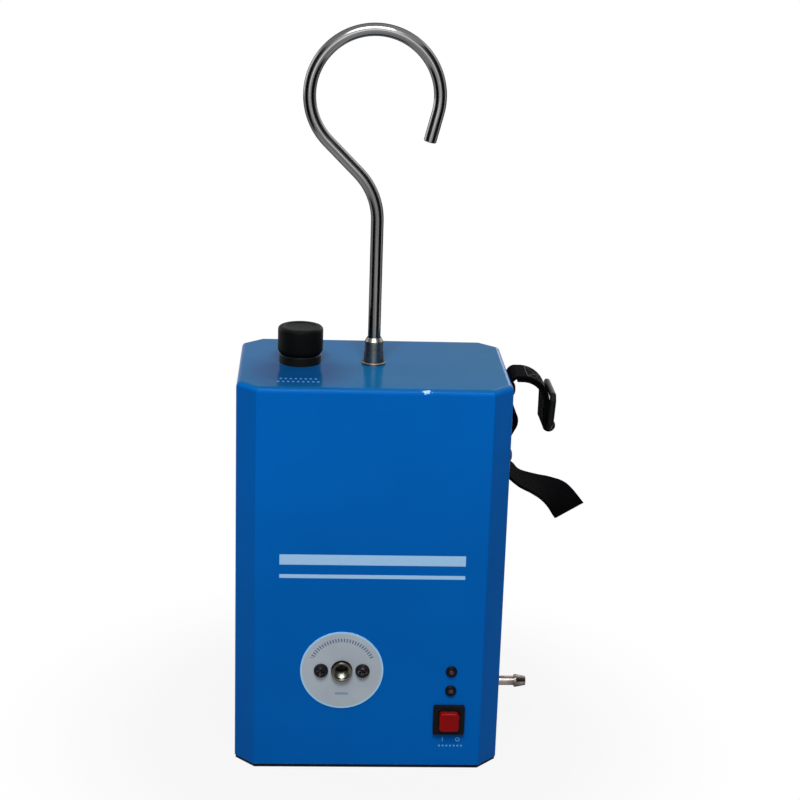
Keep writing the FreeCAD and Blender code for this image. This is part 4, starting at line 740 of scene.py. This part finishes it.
def linked(name: str, data: bpy.types.ID) -> bpy.types.Object:
    """A new object in the scene.

    Args:
        name: What it is called.
        data: Its mesh, lamp or camera.

    Returns:
        The object.
    """
    thing = bpy.data.objects.new(name, data)
    bpy.context.scene.collection.objects.link(thing)
    return thing


def sheet(name: str, corners: Sequence[Point], material: bpy.types.Material) -> bpy.types.Object:
    """A flat piece of the studio, in metres, marked as backdrop so that the bounds leave it out.

    Args:
        name: What it is called.
        corners: Its corners in turn.
        material: What it is made of.

    Returns:
        The sheet.
    """
    data = bpy.data.meshes.new(name)
    data.from_pydata(corners, [], [tuple(range(len(corners)))])
    data.materials.append(material)
    thing = linked(name, data)
    thing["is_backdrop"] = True
    return thing


def polar(angle: float, radius: float = 1.0) -> Vector:
    """A flat vector at an angle in radians."""
    return Vector((math.cos(angle), math.sin(angle))) * radius


def arc(centre: Spot, radius: float, start: float, end: float, steps: int) -> list[Spot]:
    """Points along an arc from one angle in degrees to another, both ends included."""
    angles = [math.radians(start + (end - start) * step / steps) for step in range(steps + 1)]
    return [(centre[0] + radius * math.cos(a), centre[1] + radius * math.sin(a)) for a in angles]


def circle(steps: int) -> list[Spot]:
    """Points round a circle of radius 1."""
    return arc((0, 0), 1, 0, 360, steps)[:-1]


def travelled(spots: Sequence[Vector]) -> list[float]:
    """How far along its line each spot lies, in metres.

    Args:
        spots: The spots in turn, in millimetres.

    Returns:
        The length up to each spot.
    """
    found = [0.0]
    for near, far in zip(spots, spots[1:]):
        found.append(found[-1] + (far - near).length * MM)
    return found


def ridges(root: float, crest: float, low: float, pitch: float, count: int,
           shape: Point) -> list[Spot]:
    """The profile of a thread's ridges.

    Args:
        root: The radius between them.
        crest: The radius on them.
        low: Where the first one starts.
        pitch: How far apart they are.
        count: How many there are.
        shape: Where a ridge has risen, where it falls and where it ends, in pitches.

    Returns:
        Radius and height of each corner.
    """
    risen, falls, ends = shape
    return [(radius, low + (turn + part) * pitch) for turn in range(count)
            for radius, part in ((root, 0), (crest, risen), (crest, falls), (root, ends))]


class Mould:
    """A mesh in the making, in millimetres, that is cast as a piece in metres."""

    def __init__(self, name: str, layer: str | None = None) -> None:
        """Start an empty mesh, with a layer of lengths where a finish needs one.

        Args:
            name: The piece's name.
            layer: What its layer of lengths is called, where its finish needs one.
        """
        self.name = name
        self.mesh = bmesh.new()
        self.lengths = self.mesh.loops.layers.uv.new(layer) if layer else None

    def ring(self, points: Iterable[Point]) -> list[bmesh.types.BMVert]:
        """Add the corners of one section."""
        return [self.mesh.verts.new(Vector(point) * MM) for point in points]

    def loft(self, sections: Sequence[list], spans: Sequence[float] | None = None,
             reaches: Sequence[float] | None = None, capped: bool = True) -> None:
        """Bridge a row of sections, which have as many corners each or a single one.

        Args:
            sections: The corners of each section.
            spans: Where each corner lies round a section, and one more to close it.
            reaches: Where each section lies along the piece.
            capped: Whether a face closes each end.
        """
        for row, (low, high) in enumerate(zip(sections, sections[1:])):
            for step in range(max(len(low), len(high))):
                corners = [section[(step + side) % len(section)]
                           for section, side in ((low, 0), (low, 1), (high, 1), (high, 0))]
                face = self.mesh.faces.new(list(dict.fromkeys(corners)))
                if spans:
                    for loop, side, end in zip(face.loops, (0, 1, 1, 0), (0, 0, 1, 1)):
                        loop[self.lengths].uv = (spans[step + side], reaches[row + end])
        if capped:
            self.mesh.faces.new(sections[0][::-1])
            self.mesh.faces.new(sections[-1])

    def block(self, low: Point, high: Point, count: int = 1, pitch: float = 0.0) -> None:
        """Add a row of equal boxes along X.

        Args:
            low: The first box's lowest corner.
            high: Its highest corner.
            count: How many boxes there are.
            pitch: How far apart they are.
        """
        for step in range(count):
            for vert in bmesh.ops.create_cube(self.mesh, size=1)["verts"]:
                vert.co = [(a + b) / 2 + v * (b - a) for a, b, v in zip(low, high, vert.co)]
                vert.co.x += step * pitch
                vert.co *= MM

    def turn(self, profile: Sequence[Spot], at: Point, facing: Facing, steps: int = 96,
             closed: bool = False) -> None:
        """Turn a profile about an axis.

        Args:
            profile: Radius and height of each corner, from the low end to the high one.
            at: The seat of the piece.
            facing: Which way its axis looks.
            steps: Corners round the piece.
            closed: Whether the last corner joins the first, as in a ring.
        """
        rings = [self.ring(facing.value @ Vector((radius * x, radius * y, height)) + Vector(at)
                           for x, y in (circle(steps) if radius else [(0, 0)]))
                 for radius, height in profile]
        self.loft(rings + (rings[:1] if closed else []), capped=False)

    def cast(self, finish: Finish, body: str, slot: str, replaced: Sequence[str] = (),
             sharp: float = 32) -> None:
        """Make the piece.

        Args:
            finish: What it is dressed in.
            body: The body that it rides on.
            slot: A material slot's name, which is not used.
            replaced: The solids that it stands for.
            sharp: Edges that turn by more degrees than this stay crisp.
        """
        bmesh.ops.recalc_face_normals(self.mesh, faces=self.mesh.faces)
        data = bpy.data.meshes.new(self.name)
        self.mesh.to_mesh(data)
        self.mesh.free()
        data.shade_smooth()
        data.set_sharp_from_angle(angle=math.radians(sharp))
        data.materials.append(finish.material())
        piece = linked(self.name, data)
        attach(piece, body)
        if replaced:
            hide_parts(*replaced)
        LOG.info("%s: %d faces on %s", self.name, len(data.polygons), body)


@dataclass(frozen=True)
class Viewpoint:
    """The camera: where it stands, how it is turned in radians, and its lens."""
    place: Point = (-36.182, -960.996, 499.132)
    yaw: float = 0.053780
    pitch: float = 0.297803
    roll: float = -0.032004
    lens: float = 80.276

    def stand(self) -> None:
        """Set up the scene's camera."""
        data = bpy.data.cameras.new("camera")
        data.lens = self.lens
        data.sensor_width = 36
        data.clip_start, data.clip_end = 0.05, 60
        camera = linked("camera", data)
        camera.matrix_world = Matrix.Translation(Vector(self.place) * MM)
        for angle, axis in ((-self.yaw, "Z"), (math.pi / 2 - self.pitch, "X"), (-self.roll, "Z")):
            camera.matrix_world @= Matrix.Rotation(angle, 4, axis)
        bpy.context.scene.camera = camera


@dataclass(frozen=True)
class Softbox:
    """An area lamp: where it hangs, where it points, its size in metres and its watts."""
    name: str
    place: Point
    target: Point
    wide: float
    tall: float
    watts: float

    def hang(self) -> None:
        """Hang the lamp."""
        data = bpy.data.lights.new(self.name, "AREA")
        data.shape = "RECTANGLE"
        data.size, data.size_y = self.wide, self.tall
        data.energy = self.watts
        lamp = linked(self.name, data)
        lamp.location = self.place
        way = Vector(self.target) - Vector(self.place)
        lamp.rotation_euler = way.to_track_quat("-Z", "Y").to_euler()


@dataclass(frozen=True)
class Studio:
    """A pale floor, a white surround, soft lamps, and two black cards out of view.

    The cards put the dark bands into polished bars.
    """
    surround: float = 0.15
    floor_reach: float = 30.0
    floor_colour: Colour = (0.22, 0.22, 0.22, 1.0)
    floor_glow: float = 0.9
    fade: Spot = (0.10, 0.24)
    lamps: tuple[Softbox, ...] = (
        Softbox("key_softbox", (-0.04, -0.66, 1.04), (0, 0, 0.22), 0.5, 0.35, 12.9),
        Softbox("front_softbox", (-0.04, -1.0, 0.66), (-0.02, 0, 0.32), 0.56, 0.9, 3.55),
        Softbox("rear_softbox", (1.1, 1.5, 1.0), (0, 0, 0.15), 1.8, 1.4, 23),
        Softbox("left_softbox", (-1.5, 1.0, 0.7), (0, 0, 0.15), 1.3, 1.2, 13),
    )
    cards: tuple[tuple[str, float], ...] = (("left_flag", -0.46), ("right_flag", 0.42))
    card_run: Spot = (-0.80, -0.04)
    card_rise: Spot = (0.002, 0.75)
    felt: Finish = Rubber("black_felt", shade(6, 6, 6))

    def light(self) -> None:
        """Set the world, hang the lamps and stand the cards."""
        world = bpy.data.worlds.new("surround")
        bpy.context.scene.world = world
        sky = Paintwork(world)
        ground = sky.found("BACKGROUND")
        sky.feed(ground.inputs["Color"], WHITE)
        sky.feed(ground.inputs["Strength"], self.surround + (1 - self.surround) * sky.seen())
        for lamp in self.lamps:
            lamp.hang()
        (near, far), (low, high) = self.card_run, self.card_rise
        for name, side in self.cards:
            card = sheet(name, [(side, near, low), (side, far, low), (side, far, high),
                                (side, near, high)], self.felt.material())
            card.visible_camera = False
        bpy.context.scene.view_settings.view_transform = "Standard"

    def lay_floor(self) -> None:
        """Lay the floor, which keeps the shadow and turns white further out."""
        paint = bpy.data.materials.new("pale_floor")
        work = Paintwork(paint)
        work.surface(self.floor_colour, 0.9, ior=1.1)
        glow = self.floor_glow + (1 - self.floor_glow) * work.place().length().ramp(*self.fade)
        white = work.add("ShaderNodeEmission", sockets={"Color": WHITE, "Strength": 1.0})
        plain = Wire(work, work.found("BSDF_PRINCIPLED").outputs[0])
        mixed = work.add("ShaderNodeMixShader",
                         sockets={0: work.seen() * glow, 1: plain, 2: white})
        work.feed(work.found("OUTPUT_MATERIAL").inputs["Surface"], mixed)
        reach = self.floor_reach
        sheet("floor", [(-reach, -reach, 0), (reach, -reach, 0), (reach, reach, 0),
                        (-reach, reach, 0)], paint)


@dataclass(frozen=True)
class Case:
    """The plain marks printed on the folded case, in rows of equal bars.

    A row is its first bar's left, right, low and high sides, and how many bars stand how far
    apart. On the top, low is nearer the front.
    """
    front: float = -51.0
    top: float = 225.0
    ink: float = 0.05
    stripes: tuple[Row, ...] = ((-50.5, 52.0, 124.0, 130.0, 1, 0),
                                (-50.5, 52.0, 116.1, 118.3, 1, 0))
    signs: tuple[Row, ...] = ((42.8, 43.3, 16.9, 19.5, 1, 0), (40.8, 41.8, 13.7, 14.7, 7, 2.1))
    ring: Spot = (51.6, 18.2)
    ring_reach: Spot = (0.85, 1.3)
    ring_steps: int = 32
    fill_ticks: tuple[Row, ...] = ((-51.8, -50.5, -34.1, -31.9, 8, 2.7),
                                   (-53.15, -51.85, -39.6, -37.4, 9, 2.7))

    def build(self) -> None:
        """Print the stripes, the switch's signs and the filler's ticks."""
        self.print_front("front_stripes", self.stripes).cast(WHITE_INK, "case", "blue_paint")
        signs = self.print_front("switch_signs", self.signs)
        (x, z), (inner, outer) = self.ring, self.ring_reach
        signs.turn([(outer, 0), (outer, self.ink), (inner, self.ink), (inner, 0)],
                   (x, self.front, z), Facing.FRONT, self.ring_steps, closed=True)
        signs.cast(PALE_INK, "case", "blue_paint")
        ticks = Mould("filler_ticks")
        for left, right, low, high, *row in self.fill_ticks:
            ticks.block((left, low, self.top), (right, high, self.top + self.ink), *row)
        ticks.cast(WORN_INK, "case", "blue_paint")

    def print_front(self, name: str, rows: Sequence[Row]) -> Mould:
        """Print rows of bars on the front.

        Args:
            name: The piece's name.
            rows: The rows.

        Returns:
            The mesh in the making.
        """
        mould = Mould(name)
        for left, right, low, high, *row in rows:
            mould.block((left, self.front - self.ink, low), (right, self.front, high), *row)
        return mould


@dataclass(frozen=True)
class FillerCap:
    """The filler's screw cap: a drawn-in skirt, a rounded shoulder and a shallow dish."""
    at: Point = (-41.0, 1.0, 0.0)
    skirt: float = 230.3
    high: float = 15.4
    wide: float = 25.2
    drawn_in: tuple[Spot, ...] = ((1.3, 0), (0.5, 1.2), (0.1, 2.0), (0, 3.2))
    shoulder: float = 1.9
    dish: tuple[Spot, ...] = ((9.1, 0), (8.6, 0.35), (7.8, 0.45), (0, 0.35))
    bore: float = 17.6
    seat: float = 240.5
    steps: int = 128

    def build(self) -> None:
        """Turn the cap."""
        mould = Mould("cap_shell")
        top, rim, bore = self.skirt + self.high, self.wide / 2, self.bore / 2
        profile = [(0, self.seat), (bore, self.seat), (bore, self.skirt)]
        profile += [(rim - inward, self.skirt + up) for inward, up in self.drawn_in]
        profile += arc((rim - self.shoulder, top - self.shoulder), self.shoulder, 0, 90, 9)
        profile += [(radius, top - deep) for radius, deep in self.dish]
        mould.turn(profile, self.at, Facing.UP, self.steps)
        mould.cast(CAP_PLASTIC, "filler_cap", "black_plastic", ["filler_cap"])


@dataclass(frozen=True)
class FillerNeck:
    """The thread round the filler's neck, which shows when the cap is unscrewed."""
    at: Point = (-41.0, 1.0, 0.0)
    root: float = 8.5
    crest: float = 8.72
    low: float = 231.2
    high: float = 237.6
    pitch: float = 2.5
    foot: float = 1.3
    land: float = 0.5
    sunk: float = 0.1
    run_out: float = 14
    steps: int = 72

    def build(self) -> None:
        """Wind the thread, right-handed and running out at both ends."""
        mould = Mould("neck_thread")
        count = round((self.high - self.low) / self.pitch * self.steps)
        sections = []
        for step in range(count + 1):
            out = polar(2 * math.pi * step / self.steps)
            seat = Vector(self.at) + Vector((0, 0, self.low + self.pitch * step / self.steps))
            full = min(1.0, step / self.run_out, (count - step) / self.run_out)
            root, crest = self.root - self.sunk, self.root + (self.crest - self.root) * full
            sections.append(mould.ring(
                seat + Vector((out.x * radius, out.y * radius, up)) for radius, up in (
                    (root, -self.foot / 2), (crest, -self.land / 2), (crest, self.land / 2),
                    (root, self.foot / 2))))
        mould.loft(sections)
        mould.cast(BLACK_PLASTIC, "case", "black_plastic")


@dataclass(frozen=True)
class GaugePort:
    """The thread inside the gauge port, and the bead round its mouth."""
    at: Point = (-15.0, -51.0, 60.8)
    bore: float = 8.6
    outer: float = 11.8
    mouth: float = 2.7
    deep: float = 6.0
    pitch: float = 0.95
    ridge: float = 0.45
    ridge_shape: Point = (0.42, 0.56, 0.96)
    clear: float = 0.02
    lead_in: Spot = (0.2, 0.4)
    lead_out: float = 0.05
    bead: float = 0.5
    bead_in: Spot = (0.1, 0.05)
    bead_sunk: float = 0.1

    def build(self) -> None:
        """Turn the thread and the bead."""
        self.cut_thread()
        self.roll_bead()

    def cut_thread(self) -> None:
        """Turn the ridges of the thread, as a sleeve on the bore's wall."""
        mould = Mould("port_thread")
        wall = self.bore / 2
        count = int((self.mouth + self.deep - sum(self.lead_in)) / self.pitch)
        profile = [(wall + self.clear, -self.deep)]
        profile += ridges(wall - self.clear, wall - self.ridge, self.lead_in[0] - self.deep,
                          self.pitch, count, self.ridge_shape)
        profile.append((wall + self.clear, profile[-1][1] + self.lead_out))
        mould.turn(profile, self.at, Facing.FRONT, closed=True)
        mould.cast(THREAD_NICKEL, "case", "nickel")

    def roll_bead(self) -> None:
        """Turn the bead, a half round on the mouth's face."""
        mould = Mould("port_bead")
        inner, outer = self.bore / 2 + self.bead_in[0], self.outer / 2 - self.bead_in[1]
        middle, half = (inner + outer) / 2, (outer - inner) / 2
        foot = self.mouth - self.bead_sunk
        profile = [(middle + half * x, self.mouth + self.bead * y)
                   for x, y in arc((0, 0), 1, 0, 180, 12)]
        mould.turn([(outer, foot), *profile, (inner, foot)], self.at, Facing.FRONT, closed=True)
        mould.cast(PORT_NICKEL, "case", "nickel")


@dataclass(frozen=True)
class SupplySocket:
    """The threaded barrel of the supply socket in the rear cover."""
    at: Point = (38.0, 52.2, 26.0)
    inner: float = 10.0
    shank: float = 5.8
    bore: float = 4.6
    flange: float = 8.5
    flange_thick: float = 2.0
    flange_chamfer: float = 0.4
    crest: float = 6.0
    long: float = 9.0
    pitch: float = 0.8
    groove: float = 0.5
    ridge_shape: Point = (0.4, 0.55, 0.95)
    lead_in: Spot = (0.3, 0.5)
    mouth_chamfer: float = 0.3

    def build(self) -> None:
        """Turn the barrel with its grooves."""
        mould = Mould("socket_barrel")
        root, thick, cut = self.crest - self.groove, self.flange_thick, self.flange_chamfer
        count = int((self.long - thick - sum(self.lead_in)) / self.pitch)
        mould.turn([(self.bore, -self.inner), (self.shank, -self.inner), (self.shank, 0),
                    (self.flange, 0), (self.flange, thick - cut), (self.flange - cut, thick),
                    (root, thick),
                    *ridges(root, self.crest, thick + self.lead_in[0], self.pitch, count,
                            self.ridge_shape),
                    (root, self.long), (self.bore + self.mouth_chamfer, self.long),
                    (self.bore, self.long - self.mouth_chamfer)],
                   self.at, Facing.REAR, closed=True)
        mould.cast(SOCKET_NICKEL, "case", "nickel", ["power_socket"])


@dataclass(frozen=True)
class HangingHook:
    """The bent rod that the whole machine hangs from."""
    radius: float = 3.5
    low: float = 201.0
    straight: float = 306.0
    bend: float = 37.0
    lean: float = 45.0
    lean_run: float = 24.0
    eye: float = 35.1
    sweep: float = 239.0
    tip: float = 16.0
    chamfer: float = 0.5
    pitch: float = 1.5
    steps: int = 48

    def run(self, start: Vector, end: Vector) -> list[tuple[Vector, Vector]]:
        """Points and headings along a straight run, without its end.

        Args:
            start: Where it starts.
            end: Where it ends.

        Returns:
            The points and headings.
        """
        count = max(1, round((end - start).length / self.pitch))
        way = (end - start).normalized()
        return [(start.lerp(end, step / count), way) for step in range(count)]

    def curve(self, middle: Vector, radius: float, begin: float,
              stop: float) -> list[tuple[Vector, Vector]]:
        """Points and headings along an arc, without its end.

        Args:
            middle: The arc's centre.
            radius: Its radius.
            begin: The angle that it starts at, in radians.
            stop: The angle that it ends at.

        Returns:
            The points and headings.
        """
        count = max(1, round(abs(stop - begin) * radius / self.pitch))
        quarter = math.copysign(math.pi / 2, stop - begin)
        angles = [begin + (stop - begin) * step / count for step in range(count)]
        return [(middle + polar(angle, radius), polar(angle + quarter)) for angle in angles]

    def line(self) -> list[tuple[Vector, Vector]]:
        """Points and headings along the rod's middle, in the XZ plane.

        Returns:
            The points and headings.
        """
        lean = math.radians(self.lean)
        first = math.pi + lean
        last = first - math.radians(self.sweep)
        elbow = Vector((-self.bend, self.straight))
        bend_end = elbow + polar(lean, self.bend)
        run_end = bend_end + polar(lean + math.pi / 2, self.lean_run)
        centre = run_end + polar(lean, self.eye)
        tip_start, way = centre + polar(last, self.eye), polar(last - math.pi / 2)
        tip_end = tip_start + way * self.tip
        return [*self.run(Vector((0, self.low)), Vector((0, self.straight))),
                *self.curve(elbow, self.bend, 0, lean), *self.run(bend_end, run_end),
                *self.curve(centre, self.eye, first, last), *self.run(tip_start, tip_end),
                (tip_end, way)]

    def build(self) -> None:
        """Sweep the rod, with its ends chamfered."""
        mould = Mould("hook_bar", "length")
        line = self.line()
        (foot, up), (tip, down) = line[0], line[-1]
        thin, cut = self.radius - self.chamfer, self.chamfer
        sections = [(foot, up, thin), (foot + up * cut, up, self.radius)]
        sections += [(spot, way, self.radius) for spot, way in line[1:-1]]
        sections += [(tip - down * cut, down, self.radius), (tip, down, thin)]
        rings = [mould.ring(
            Vector((spot.x, 0, spot.y)) + Vector((way.y * x, y, -way.x * x))
            for x, y in ((radius * a, radius * b) for a, b in circle(self.steps)))
            for spot, way, radius in sections]
        spans = [step / self.steps for step in range(self.steps + 1)]
        mould.loft(rings, spans, travelled([spot for spot, _, _ in sections]))
        mould.cast(ROD_STEEL, "hook", "dark_steel", ["hook_rod"])


def glide(four: Sequence[Sequence[float]], part: float) -> tuple[float, ...]:
    """Smooth values part of the way between the middle two of four rows."""
    return tuple(0.5 * (2 * b + (c - a) * part + (2 * a - 5 * b + 4 * c - d) * part ** 2
                        + (3 * b - a - 3 * c + d) * part ** 3) for a, b, c, d in zip(*four))


def heading(swing: float, rise: float) -> Vector:
    """The width's heading when it swings from Y towards X and rises, in degrees."""
    a, b = math.radians(swing), math.radians(rise)
    return Vector((math.sin(a) * math.cos(b), math.cos(a) * math.cos(b), math.sin(b)))


@dataclass(frozen=True)
class CarryStrap:
    """The webbing: a free tail, the run up the case, and the loop that holds the ring.

    Each row of the tail is how far out of the wall and how far up a station lies, and how far
    the width swings and rises there in degrees.
    """
    wide: float = 25.0
    thick: float = 1.8
    seat_x: float = 76.9
    low_screw: float = 172.0
    flat: Spot = (186.5, 205.5)
    slack: float = 5.0
    bow: float = 8.0
    arm: float = 220.6
    arm_round: float = 4.0
    drop_x: float = 97.2
    drop_round: float = 14.0
    bar: Spot = (99.08, 193.8)
    bar_wrap: float = 2.78
    tuck: float = 1.0
    inner_start: float = 0.5
    inner_end: float = 80.2
    pitch: float = 0.8
    closest: float = 0.15
    lead: float = 3.0
    sunk: float = 0.93
    thin: float = 0.86
    rib_step: float = 4.0
    edge_in: tuple[Spot, ...] = ((3.0, 0.86), (1.8, 0.92))
    edge_share: float = 0.95
    edge_turn: float = 68
    sewn: Spot = (10.0, 52.0)
    seam_in: float = 2.6
    stitch: float = 2.6
    stitch_part: Spot = (0.12, 0.88)
    thread: float = 0.3
    thread_shape: tuple[Spot, ...] = ((0.0, 0.4), (0.2, 0.95), (0.5, 1.1), (0.8, 0.95),
                                      (1.0, 0.4))
    tail: tuple[tuple[float, float, float, float], ...] = (
        (0, -6, 0, 0), (3, -9, 9, 1), (8.4, -13.8, 5, 3), (16.9, -17.1, 11, 6),
        (24.1, -19.8, 19, 12), (31.1, -24, 33, 16), (38.6, -33.3, 48, 8))

    def rounded(self, points: Sequence[Spot], radii: Sequence[float]) -> list[Vector]:
        """Points along straight runs whose corners are arcs.

        Args:
            points: The corners of the runs, with both ends.
            radii: The radius of each corner between the ends.

        Returns:
            The points.
        """
        spots = [Vector(point) for point in points]
        found = [spots[0]]
        for before, corner, after, radius in zip(spots, spots[1:], spots[2:], radii):
            come, go = (corner - before).normalized(), (after - corner).normalized()
            turn = come.angle(go)
            side = math.copysign(1, come.x * go.y - come.y * go.x)
            start = corner - come * radius * math.tan(turn / 2)
            arm = Vector((come.y, -come.x)) * side * radius
            count = max(3, round(radius * turn / self.pitch * 1.5))
            found += [start - arm + Matrix.Rotation(side * turn * step / count, 2) @ arm
                      for step in range(count + 1)]
        return [*found, spots[-1]]

    def wall_to_ring(self) -> list[Vector]:
        """The line from the tail's root up the wall, along the arm, round the bar and back.

        Returns:
            The points, each as X and Z.
        """
        half = self.thick / 2
        outer, inner = self.arm + half, self.arm - half
        drop, rise = self.drop_x + half, self.drop_x - half
        across, up = self.bar
        over = up + math.sqrt((self.bar_wrap + self.tuck) ** 2 - (drop + self.tuck - across) ** 2)
        low, high = self.flat
        wall = self.seat_x
        line = self.rounded(
            [(wall, self.low_screw + self.tail[0][1]), (wall, low),
             (wall + self.slack, (low + high) / 2), (wall, high), (wall, outer), (drop, outer),
             (drop, over)],
            [self.bow, self.bow, self.bow, self.arm_round, self.drop_round + half])
        bends = arc((drop + self.tuck, over), self.tuck, 180, 270, 5)
        bends += arc(self.bar, self.bar_wrap, 90, -180, 28)
        return [*line, *map(Vector, bends), *self.rounded(
            [(rise, up + self.inner_start), (rise, inner), (self.inner_end, inner)],
            [self.drop_round - half])]

    def stations(self) -> list[tuple[Vector, Vector]]:
        """The middle and the width's heading at each step along the band.

        Returns:
            The stations, from the end of the tail.
        """
        rows = [(self.seat_x + out, self.low_screw + up, swing, rise)
                for out, up, swing, rise in self.tail]
        x, z, *_ = rows[0]
        rows.insert(0, (x, z + self.lead, 0, 0))
        (x, z, *turns), (near_x, near_z, *_) = rows[-1], rows[-2]
        rows.append((2 * x - near_x, 2 * z - near_z, *turns))
        rows.reverse()
        found = []
        for four in zip(rows, rows[1:], rows[2:], rows[3:]):
            count = max(2, round(math.dist(four[1][:2], four[2][:2]) / self.pitch))
            for step in range(count):
                x, z, swing, rise = glide(four, step / count)
                found.append((Vector((x, 0, z)), heading(swing, rise)))
        across = Vector((0, 1, 0))
        return found + [(Vector((spot.x, 0, spot.y)), across)
                        for spot in self.even(self.wall_to_ring())]

    def even(self, line: list[Vector]) -> list[Vector]:
        """The same line, with close points dropped and long runs divided.

        Args:
            line: The points of the line.

        Returns:
            The new points.
        """
        found = [line[0]]
        for spot in line[1:]:
            start, gap = found[-1], (spot - found[-1]).length
            if gap >= self.closest:
                count = max(1, round(gap / self.pitch))
                found += [start.lerp(spot, (step + 1) / count) for step in range(count)]
        return found

    def section(self) -> list[Spot]:
        """The band's cross-section: flat, with rounded and slightly thicker selvedges.

        Returns:
            How far aside and how deep each corner is.
        """
        half, deep = self.wide / 2, self.thick / 2
        edge = deep * self.edge_share
        top = [(half - inward, deep * share) for inward, share in self.edge_in]
        top.append((half - edge, edge))
        flat = [(step * self.rib_step, deep * self.thin) for step in range(-2, 3)]
        side = arc((half - edge, 0), edge, self.edge_turn, -self.edge_turn, 6)
        right = flat + top + side
        back = [(x, -y) for x, y in reversed(top)]
        return right + back + [(-x, -y) for x, y in right] + [(-x, -y) for x, y in back]

    def build(self) -> None:
        """Weave the band."""
        mould = Mould("strap_webbing", "band")
        stations, section = self.stations(), self.section()
        spots = [spot for spot, _ in stations]
        ways = [(after - before).normalized()
                for before, after in zip(spots[:1] + spots, spots[1:] + spots[-1:])]
        rings = [mould.ring(spot + across * side + way.cross(across).normalized() * deep
                            for side, deep in section)
                 for (spot, across), way in zip(stations, ways)]
        spans = travelled([Vector(corner) for corner in section + section[:1]])
        reaches = travelled(spots)
        mould.loft(rings, spans, reaches)
        mould.cast(WEBBING, "case", "webbing", ["strap"], sharp=60)
        LOG.info("strap length %.0f mm", reaches[-1] / MM)
        self.sew()

    def sew(self) -> None:
        """Sew the fold's two layers together with a crossed box of stitches."""
        mould = Mould("strap_stitches")
        (low, high), wide = self.sewn, self.wide / 2 - self.seam_in
        box = [(low, -wide), (high, -wide), (high, wide), (low, wide)]
        seams = [*zip(box, box[1:] + box[:1]), (box[0], box[2]), (box[1], box[3])]
        for start, end in seams:
            count = max(2, round((self.on_fall(*end) - self.on_fall(*start)).length
                                 / self.stitch))
            for step in range(count):
                near, far = (
                    self.on_fall(*(a + (b - a) * (step + part) / count
                                   for a, b in zip(start, end)))
                    for part in self.stitch_part)
                self.sew_stitch(mould, near, far)
        mould.cast(THREAD, "case", "webbing")

    def sew_stitch(self, mould: Mould, start: Vector, end: Vector) -> None:
        """Add one stitch: a thread that dives into the cloth at both ends.

        Args:
            mould: The stitches' mesh.
            start: Where the thread comes up.
            end: Where it goes down.
        """
        way = (end - start).normalized()
        side = way.cross(Vector((0.3, 0.5, 0.8))).normalized()
        lift = side.cross(way)
        mould.loft([mould.ring(start.lerp(end, part) + (side * x + lift * y) * self.thread * swell
                               for x, y in circle(6))
                    for part, swell in self.thread_shape])

    def on_fall(self, turn: float, across: float) -> Vector:
        """A point on the arm's outer layer, so many degrees round its fall to the ring."""
        x, z = polar(math.radians(90 - turn), self.drop_round + self.thick * self.sunk)
        return Vector((self.drop_x - self.drop_round + x, across, self.arm - self.drop_round + z))


def dress_nodes(finishes: dict[Finish, tuple[str, ...]]) -> None:
    """Give each carried-over solid its finish.

    Args:
        finishes: The solids' names by finish.
    """
    for finish, nodes in finishes.items():
        for name in nodes:
            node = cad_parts[name]
            if not node.material_slots:
                node.data.materials.append(None)
            for place in node.material_slots:
                place.material = finish.material()
            LOG.info("%s dressed in %s", name, finish.name)


def corners(box: tuple[Vector, Vector]) -> list[list[float]]:
    """A box's two corners as plain lists."""
    return [list(corner) for corner in box]


def main() -> None:
    """Build and dress the machine in order."""
    logging.basicConfig(level=logging.INFO, format="%(name)s: %(message)s")
    solid_box = corners(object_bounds())
    Viewpoint().stand()
    studio = Studio()
    studio.light()
    studio.lay_floor()
    dress_nodes(NODE_FINISHES)
    for sub_assembly in (Case(), FillerNeck(), FillerCap(), GaugePort(), SupplySocket(),
                         HangingHook(), CarryStrap()):
        sub_assembly.build()
    {"cad": solid_box, "visual": corners(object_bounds())}


if __name__ == "__main__":
    main()
